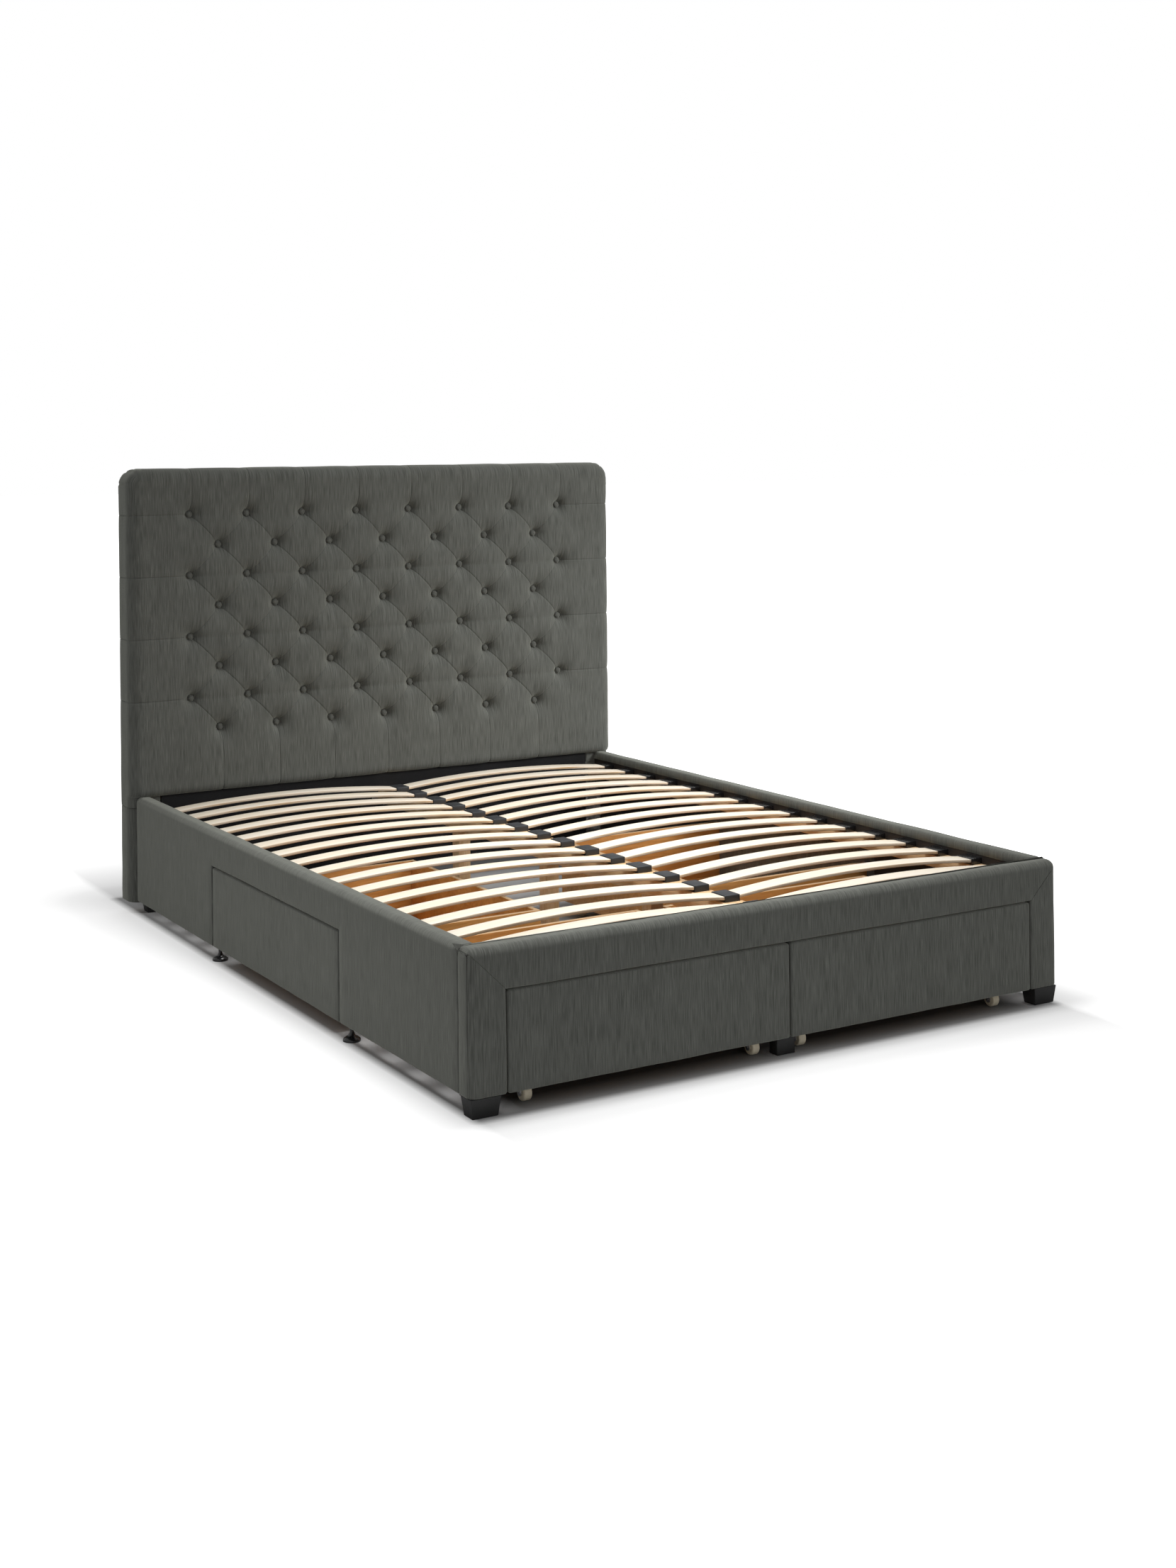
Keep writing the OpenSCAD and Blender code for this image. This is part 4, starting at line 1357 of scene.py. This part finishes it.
@dataclass
class PaddedFootboard(BoardCover):
    """The footboard's cover: two stiles and a top band, sewn together on the mitre."""

    finishes: Finishes
    outer_round: float = 0.020
    seam_w: float = 0.0009
    seam_depth: float = 0.0020
    seam_slope: float = 0.97
    stile_cloth: float = 0.731

    def build(self) -> bpy.types.Object:
        """Builds the cover.

        Returns:
            The cover's object.
        """
        low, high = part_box("footboard_cover")
        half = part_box("foot_right_drawer_front")[1].x + self.gap
        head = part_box("foot_right_drawer_front")[1].z + self.gap
        top, outer, front, back = high.z, high.x, low.y, high.y
        outline = [(-outer, low.z), (-half, low.z), (-half, head), (half, head), (half, low.z),
                   (outer, low.z), (outer, top), (-outer, top)]
        bm = prism([(x, front, z) for x, z in outline], (0, back - front, 0))
        rounded(bm, self.inner_round, 5, lambda edge: lies_at(edge, Axis.Z, top)
                and lies_at(edge, Axis.Y, back))

        def at_side(edge: bmesh.types.BMEdge, near: float = ON_PLANE) -> bool:
            """Whether both ends of an edge are at the outer face of a stile."""
            return all(abs(abs(vert.co.x) - outer) < near for vert in edge.verts)

        def shoulder(edge: bmesh.types.BMEdge) -> bool:
            """Whether an edge belongs to the large rounding of the top and the upright corners."""
            at_top, at_front = lies_at(edge, Axis.Z, top), lies_at(edge, Axis.Y, front)
            return (at_top and at_front) or (at_side(edge) and (at_top or at_front))

        rounded(bm, self.outer_round, 9, shoulder)
        rounded(bm, self.soft_edge, 3, lambda edge: turns(edge, CORNER)
                and (not lies_at(edge, Axis.Y, back) or at_side(edge, 10 * ON_PLANE)))
        sliced(bm, Axis.X, steps(-outer, outer, CELL))
        self.bare_inside(bm, low.z, top, Vector((0, 1, 0)))
        softened(bm, self.lump_height, self.lump, 9.7)
        for side in Side:
            self._mitre(bm, Vector((side.value * half, 0, head)), side)

        def lay(face: bmesh.types.BMFace, point: Vector) -> Flat:
            """Cloth that runs up the front and over the top, cut apart at the mitres."""
            depth = point.y - front
            stile = (abs(point.x) - half) * self.seam_slope > point.z - head
            below_top = face.calc_center_median().z < top - 0.001
            shift = self.stile_cloth if stile and below_top else 0.0
            if abs(face.normal.x) > 0.7:
                return outer + depth + shift, point.z
            if depth < (back - front) / 2:
                return point.x + shift, point.z + depth
            return point.x, top + depth + (top - point.z)

        cloth_coordinates(bm, lay)
        piece = shown("footboard_padding", bm, self.finishes.cloth, FRAME_BODY,
                      CLOTH_SLOT, ["footboard_cover"], PADDED_SHARP)
        return piece

    def _mitre(self, bm: bmesh.types.BMesh, corner: Vector, side: Side) -> None:
        """Sews the seam from a corner of the opening up to the top.

        Args:
            bm: the cover.
            corner: the opening's upper corner.
            side: the side of the bed.
        """
        normal = Vector((-side.value * self.seam_slope, 0, 1)).normalized()
        for offset in (-self.seam_w, self.seam_w, 0.0):
            cut_through(bm, corner + normal * offset, normal)
        bm.normal_update()
        sunk = [(vert, vert.normal.copy()) for vert in bm.verts
                if abs((vert.co - corner).dot(normal)) < ON_PLANE
                and vert.co.x * side.value > 0]
        for vert, outward in sunk:
            vert.co -= outward * self.seam_depth


@dataclass
class DrawerFront:
    """An upholstered drawer front."""

    finishes: Finishes
    place: str
    soft_edge: float = 0.0048
    lump_height: float = 0.0009
    lump: float = 0.10

    def build(self) -> bpy.types.Object:
        """Builds the front.

        Returns:
            The front's object.
        """
        node = f"{self.place}_drawer_front"
        low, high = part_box(node)
        bm = prism([(low.x, low.y, low.z), (high.x, low.y, low.z), (high.x, high.y, low.z),
                    (low.x, high.y, low.z)], (0, 0, high.z - low.z))
        at_foot = high.x - low.x > high.y - low.y
        long, deep = (Axis.X, Axis.Y) if at_foot else (Axis.Y, Axis.X)
        back = high.y if at_foot else min(low.x, high.x, key=abs)
        rounded(bm, self.soft_edge, 4, lambda edge: turns(edge, CORNER)
                and not lies_at(edge, deep, back))
        sliced(bm, long, steps(low[long.value], high[long.value], CELL))
        sliced(bm, Axis.Z, steps(low.z, high.z, CELL))
        softened(bm, self.lump_height, self.lump, 1.3 + len(self.place) + low.x)
        cloth_coordinates(bm, box_cloth)
        piece = shown(f"{self.place}_drawer_front_padding", bm, self.finishes.cloth,
                      f"{self.place}_drawer", CLOTH_SLOT, [node], PADDED_SHARP)
        return piece


# ---- timber, plastics and the parts left as they are ----


@dataclass(frozen=True)
class EasedPart:
    """A rigid CAD part whose edges are eased for the looks."""

    node: str
    finish: bpy.types.Material
    radius: float
    segments: int = 2
    sharp: float = 40.0
    flat_within: float = 0.6
    corner: float = 35

    def build(self) -> bpy.types.Object:
        """Copies the part's mesh and rounds its edges.

        Returns:
            The new object.
        """
        source = FRAME["nodes"][self.node]
        bm = bmesh.new()
        bm.from_mesh(source.data)
        bmesh.ops.remove_doubles(bm, verts=bm.verts[:], dist=MERGE)
        bmesh.ops.dissolve_limit(bm, angle_limit=math.radians(self.flat_within),
                                 verts=bm.verts[:], edges=bm.edges[:])
        rounded(bm, self.radius, self.segments, lambda edge: turns(edge, self.corner))
        return shown(f"{self.node}_eased", bm, self.finish, source["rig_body"],
                     slot_of(self.node), [self.node], self.sharp)


@dataclass
class LevellingFeet:
    """The levelling feet: each a domed disc, a short cone and a stem."""

    finish: bpy.types.Material
    node: str = "levelling_feet"
    sides: int = 40
    # The disc's section: its reach as a share of the radius, and its height.
    disc: tuple[Flat, ...] = ((1.0, 0.0), (1.0, 0.0035), (0.975, 0.0050), (0.88, 0.0070),
                              (0.70, 0.0095), (0.54, 0.0112), (0.44, 0.0125), (0.36, 0.0150))
    neck: float = 0.021
    sharp: float = 35

    def _turned(self, bm: bmesh.types.BMesh, points: Sequence[Vector]) -> None:
        """Turns one foot on its own upright axis.

        Args:
            bm: the mesh that it is added to.
            points: the CAD foot's points.
        """
        low = [min(point[axis] for point in points) for axis in range(3)]
        high = [max(point[axis] for point in points) for axis in range(3)]
        centre = Vector(((low[0] + high[0]) / 2, (low[1] + high[1]) / 2, 0))
        radius = (high[0] - low[0]) / 2
        stem = min((point.xy - centre.xy).length for point in points)
        profile = [(share * radius, height) for share, height in self.disc]
        profile += [(stem, self.neck), (stem, high[2])]
        rings = [[bm.verts.new((centre.x + reach * math.cos(math.tau * i / self.sides),
                                centre.y + reach * math.sin(math.tau * i / self.sides), height))
                  for i in range(self.sides)] for reach, height in profile]
        for lower, upper in zip(rings, rings[1:]):
            for i in range(self.sides):
                after = (i + 1) % self.sides
                bm.faces.new((lower[i], lower[after], upper[after], upper[i]))
        bm.faces.new(rings[-1])
        bm.faces.new(reversed(rings[0]))

    def build(self) -> bpy.types.Object:
        """Builds the four feet.

        Returns:
            Their object.
        """
        source = FRAME["nodes"][self.node]
        points = [vert.co for vert in source.data.vertices]
        low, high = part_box(self.node)
        bm = bmesh.new()
        for side in Side:
            for end in Side:
                self._turned(bm, [point for point in points if point.x * side.value > 0
                                  and (point.y - (low.y + high.y) / 2) * end.value > 0])
        return shown("levelling_feet_turned", bm, self.finish, source["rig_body"],
                     slot_of(self.node), [self.node], self.sharp)


@dataclass
class RigidParts:
    """Dresses the slats, boards, drawers, castors, feet and fixings."""

    finishes: Finishes
    slat_rows: int = 16
    crest_within: float = 0.03
    end_within: float = 0.001

    def _birch(self) -> bpy.types.Material:
        """The slats' finish, with their bend read from the first slat."""
        low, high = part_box("slat_row_1")
        points = [vert.co for vert in FRAME["nodes"]["slat_row_1"].data.vertices]
        inner = min(abs(point.x) for point in points)
        middle, half = (inner + high.x) / 2, (high.x - inner) / 2
        crest = max(point.z for point in points
                    if abs(abs(point.x) - middle) < self.crest_within)
        end = max(point.z for point in points if abs(point.x) > high.x - self.end_within)
        bow = crest - end
        thickness = end - low.z
        radius = (half * half + bow * bow) / (2 * bow)
        return BentBirch().make(low.z, middle, radius, bow, thickness)

    def build(self) -> None:
        """Builds the eased parts, and gives every node left showing its finish."""
        wood = self.finishes
        birch = self._birch()
        for row in range(1, self.slat_rows + 1):
            EasedPart(f"slat_row_{row}", birch, 0.0022, 3).build()
        for node, finish, radius in (
            ("slat_side_holders", wood.gloss_black, 0.0009),
            ("slat_middle_caps", wood.dark_grey, 0.0014),
            ("slat_ledgers", wood.pine_long, 0.0015),
            ("centre_beam", wood.pine_long, 0.0020),
            ("centre_legs", wood.pine_upright, 0.0015),
            ("wooden_feet", wood.black_wood, 0.0015),
        ):
            EasedPart(node, finish, radius).build()
        LevellingFeet(wood.gloss_black).build()
        for place in DRAWERS:
            EasedPart(f"{place}_drawer_box", wood.box_wood, 0.0010).build()
            EasedPart(f"{place}_drawer_base", wood.base_wood, 0.0006).build()
            for piece, finish in (("castor_forks", wood.zinc), ("front_wheels", wood.cream),
                                  ("rear_wheels", wood.cream)):
                self.dress(f"{place}_drawer_{piece}", finish)
        for node, finish in (
            ("headboard_panel", wood.panel),
            ("left_rail_board", wood.stained_board),
            ("right_rail_board", wood.stained_board),
            ("footboard_frame", wood.stained_board),
            ("beam_brackets", wood.zinc),
            ("corner_fixings", wood.zinc),
        ):
            self.dress(node, finish)

    @staticmethod
    def dress(node: str, finish: bpy.types.Material) -> None:
        """Gives a CAD node that stays its finish."""
        piece = FRAME["nodes"][node]
        if piece.material_slots:
            for slot in piece.material_slots:
                slot.material = finish
        else:
            piece.data.materials.append(finish)
        LOG.info("%s keeps its CAD shape", node)


# ---- the studio ----


@dataclass(frozen=True)
class Softbox:
    """One soft lamp: where it hangs, the point it faces, its size, power and throw in degrees."""

    name: str
    place: tuple[float, float, float]
    aim: tuple[float, float, float]
    size: Flat
    watts: float
    throw: float

    def hang(self) -> None:
        """Adds the lamp to the scene."""
        data = bpy.data.lights.new(self.name, "AREA")
        data.shape = "RECTANGLE"
        data.size, data.size_y = self.size
        data.energy = self.watts
        data.spread = math.radians(self.throw)
        lamp = bpy.data.objects.new(self.name, data)
        lamp.location = self.place
        ahead = Vector(self.aim) - Vector(self.place)
        lamp.rotation_euler = ahead.to_track_quat("-Z", "Y").to_euler()
        bpy.context.scene.collection.objects.link(lamp)


@dataclass(frozen=True)
class ViewCamera:
    """The camera: level, in front of the bed's left front corner, its view shifted down."""

    place: tuple[float, float, float] = (-2.657, -4.707, 1.367)
    yaw: float = 30.784
    roll: float = -0.574
    lens: float = 45.556
    sensor: float = 36.0
    shift_down: float = 0.2138
    near: float = 0.05
    far: float = 200.0

    def set(self) -> None:
        """Adds the camera to the scene and makes it the one in use."""
        data = bpy.data.cameras.new("view_camera")
        data.sensor_width = self.sensor
        data.lens = self.lens
        data.shift_y = -self.shift_down
        data.clip_start, data.clip_end = self.near, self.far
        camera = bpy.data.objects.new("view_camera", data)
        yaw, roll = math.radians(self.yaw), math.radians(self.roll)
        ahead = Vector((math.sin(yaw), math.cos(yaw), 0))
        right = Vector((math.cos(yaw), -math.sin(yaw), 0))
        above = right.cross(ahead)
        side = right * math.cos(roll) + above * math.sin(roll)
        up = above * math.cos(roll) - right * math.sin(roll)
        turn = Matrix((side, up, -ahead)).transposed()
        camera.matrix_world = Matrix.Translation(self.place) @ turn.to_4x4()
        bpy.context.scene.collection.objects.link(camera)
        bpy.context.scene.camera = camera


@dataclass
class Studio:
    """A pale floor with painted shade under, beside and behind the bed, and its lamps.

    The floor's tones are from 0 to 1: its own pale colour far from the bed, and painted shade
    under the bed, under its sides and behind the headboard. A reach is the span of distances past
    the bed's edge over which one tone turns into the next, and a whitening is such a span with the
    light that the floor is seen to gain over it.
    """

    ambient: float = 0.50
    floor_size: float = 60
    floor_drop: float = 0.0005
    floor_white: float = 0.60
    # Painted shade: the floor's tones under the bed's edge, under its middle, under its sides and
    # behind the headboard.
    painted_shade_edge: float = 0.08
    painted_shade_middle: float = 0.34
    painted_shade_sides: float = 0.45
    side_light: float = 0.04
    painted_shade_behind_head: float = 0.25
    head_shade: float = 0.16
    tone_reach: Flat = (-0.09, 0.06)
    edge_reach: Flat = (-0.12, -0.02)
    middle_reach: Flat = (-0.28, -0.14)
    whitening: tuple[tuple[float, float, float], ...] = (
        (0.00, 0.03, 0.30), (0.06, 0.20, 0.12), (0.15, 0.80, 0.58))
    side_whitening: tuple[float, float, float] = (0.00, 0.03, 0.22)
    lamps: tuple[Softbox, ...] = (
        Softbox("lamp_over_foot", (-0.25, -0.8, 2.6), (-0.25, -0.8, 0.3), (1.3, 0.5), 11, 80),
        Softbox("lamp_over_middle", (0.0, 0.1, 3.0), (0.0, 0.1, 0.3), (1.3, 0.6), 6, 60),
        Softbox("lamp_right", (2.5, -1.4, 2.35), (0.6, 1.0, 0.25), (1.0, 1.0), 12, 60),
        Softbox("lamp_front", (0.0, -5.0, 1.0), (0.0, -1.1, 0.2), (2.2, 1.0), 3.2, 100))

    def _beyond(self, recipe: Recipe) -> list[bpy.types.NodeSocket]:
        """How far a point of the floor lies past the bed's own dark shadow.

        The light reaches a little under the sides, and the headboard keeps it off the floor
        behind the bed.

        Args:
            recipe: the floor's material.

        Returns:
            The distance past a side, past the headboard and past the whole bed. Each is below 0
            under the bed.
        """
        width, length = CAD_BOX[1].x - self.side_light, CAD_BOX[1].y
        across, along = (recipe.axis(recipe.place(), axis) for axis in (Axis.X, Axis.Y))
        past_side = recipe.math("SUBTRACT", recipe.math("ABSOLUTE", across), width)
        past_foot = recipe.math("SUBTRACT", recipe.math("MULTIPLY", along, -1.0), length)
        past_shade = recipe.math("SUBTRACT", along, length + self.head_shade)
        past = [past_side, recipe.math("MAXIMUM", past_foot, past_shade)]
        past_head = recipe.math("SUBTRACT", along, length)
        beyond = [recipe.math("POWER", recipe.math("MAXIMUM", part, 0.0), 2.0) for part in past]
        inside = recipe.math("MINIMUM", recipe.math("MAXIMUM", *past), 0.0)
        past_bed = recipe.math("ADD", recipe.math("SQRT", recipe.math("ADD", *beyond)), inside)
        return [past_side, past_head, past_bed]

    def floor(self) -> None:
        """Lays the floor: it keeps the bed's shadow, with painted shade under, beside and behind
        the bed, and is seen white beyond it.
        """
        bm = bmesh.new()
        bmesh.ops.create_grid(bm, x_segments=2, y_segments=2, size=self.floor_size)
        bmesh.ops.translate(bm, verts=bm.verts[:], vec=(0, 0, -self.floor_drop))
        mesh = bpy.data.meshes.new("studio_floor")
        bm.to_mesh(mesh)
        bm.free()
        recipe = Recipe("white_floor_painted_shade", 0.95, 0.0)
        past_side, past_head, distance = self._beyond(recipe)
        # Painted shade: the floor's colour is darkened under the bed, beside it and behind the
        # headboard, and turns to its own pale colour past the edge.
        outside = recipe.spread(distance, *self.tone_reach, self.painted_shade_edge, self.floor_white)
        middle = recipe.spread(distance, *self.middle_reach, self.painted_shade_middle, self.painted_shade_edge)
        tone = recipe.math("MAXIMUM", outside, middle)
        for place, shade in ((past_side, self.painted_shade_sides), (past_head, self.painted_shade_behind_head)):
            beside = recipe.spread(place, *self.edge_reach, self.painted_shade_edge, shade)
            tone = recipe.math("MAXIMUM", tone, beside)
        recipe.colour(tone)
        near, far, share = self.side_whitening
        whitening = recipe.spread(past_side, near, far, 0, share)
        for near, far, share in self.whitening:
            more = recipe.spread(distance, near, far, 0, share)
            whitening = recipe.math("ADD", more, whitening)
        rays = recipe.node("LightPath")
        seen = recipe.math("MAXIMUM", rays.outputs["Is Camera Ray"],
                           rays.outputs["Is Transmission Ray"])
        recipe.shader.inputs["Emission Color"].default_value = (1, 1, 1, 1)
        recipe.tree.links.new(recipe.math("MULTIPLY", seen, whitening),
                              recipe.shader.inputs["Emission Strength"])
        mesh.materials.append(recipe.material)
        floor = bpy.data.objects.new("studio_floor", mesh)
        bpy.context.scene.collection.objects.link(floor)

    def world(self) -> None:
        """Sets the pale surroundings: white behind the bed, dimmer as light."""
        world = bpy.data.worlds.new("studio_air")
        world.use_nodes = True
        bpy.context.scene.world = world
        tree = world.node_tree
        rays = tree.nodes.new("ShaderNodeLightPath")
        pick = tree.nodes.new("ShaderNodeMath")
        pick.operation = "MAXIMUM"
        tree.links.new(rays.outputs["Is Camera Ray"], pick.inputs[0])
        tree.links.new(rays.outputs["Is Transmission Ray"], pick.inputs[1])
        strength = tree.nodes.new("ShaderNodeMapRange")
        strength.inputs["To Min"].default_value = self.ambient
        strength.inputs["To Max"].default_value = 1.0
        tree.links.new(pick.outputs[0], strength.inputs["Value"])
        background = tree.nodes["Background"]
        background.inputs["Color"].default_value = (1, 1, 1, 1)
        tree.links.new(strength.outputs[0], background.inputs["Strength"])

    def build(self) -> None:
        """Sets the floor, the air and the lamps."""
        self.floor()
        self.world()
        for lamp in self.lamps:
            lamp.hang()


def main() -> None:
    """Builds the bed's pieces in order and sets the studio."""
    logging.basicConfig(level=logging.INFO, format="%(message)s")
    bpy.context.scene.view_settings.view_transform = "Standard"
    ViewCamera().set()
    Studio().build()
    finishes = Finishes()
    ButtonedHeadboard(finishes).build()
    for side in Side:
        PaddedRail(finishes, side).build()
    PaddedFootboard(finishes).build()
    for place in DRAWERS:
        DrawerFront(finishes, place).build()
    RigidParts(finishes).build()


if __name__ == "__main__":
    main()
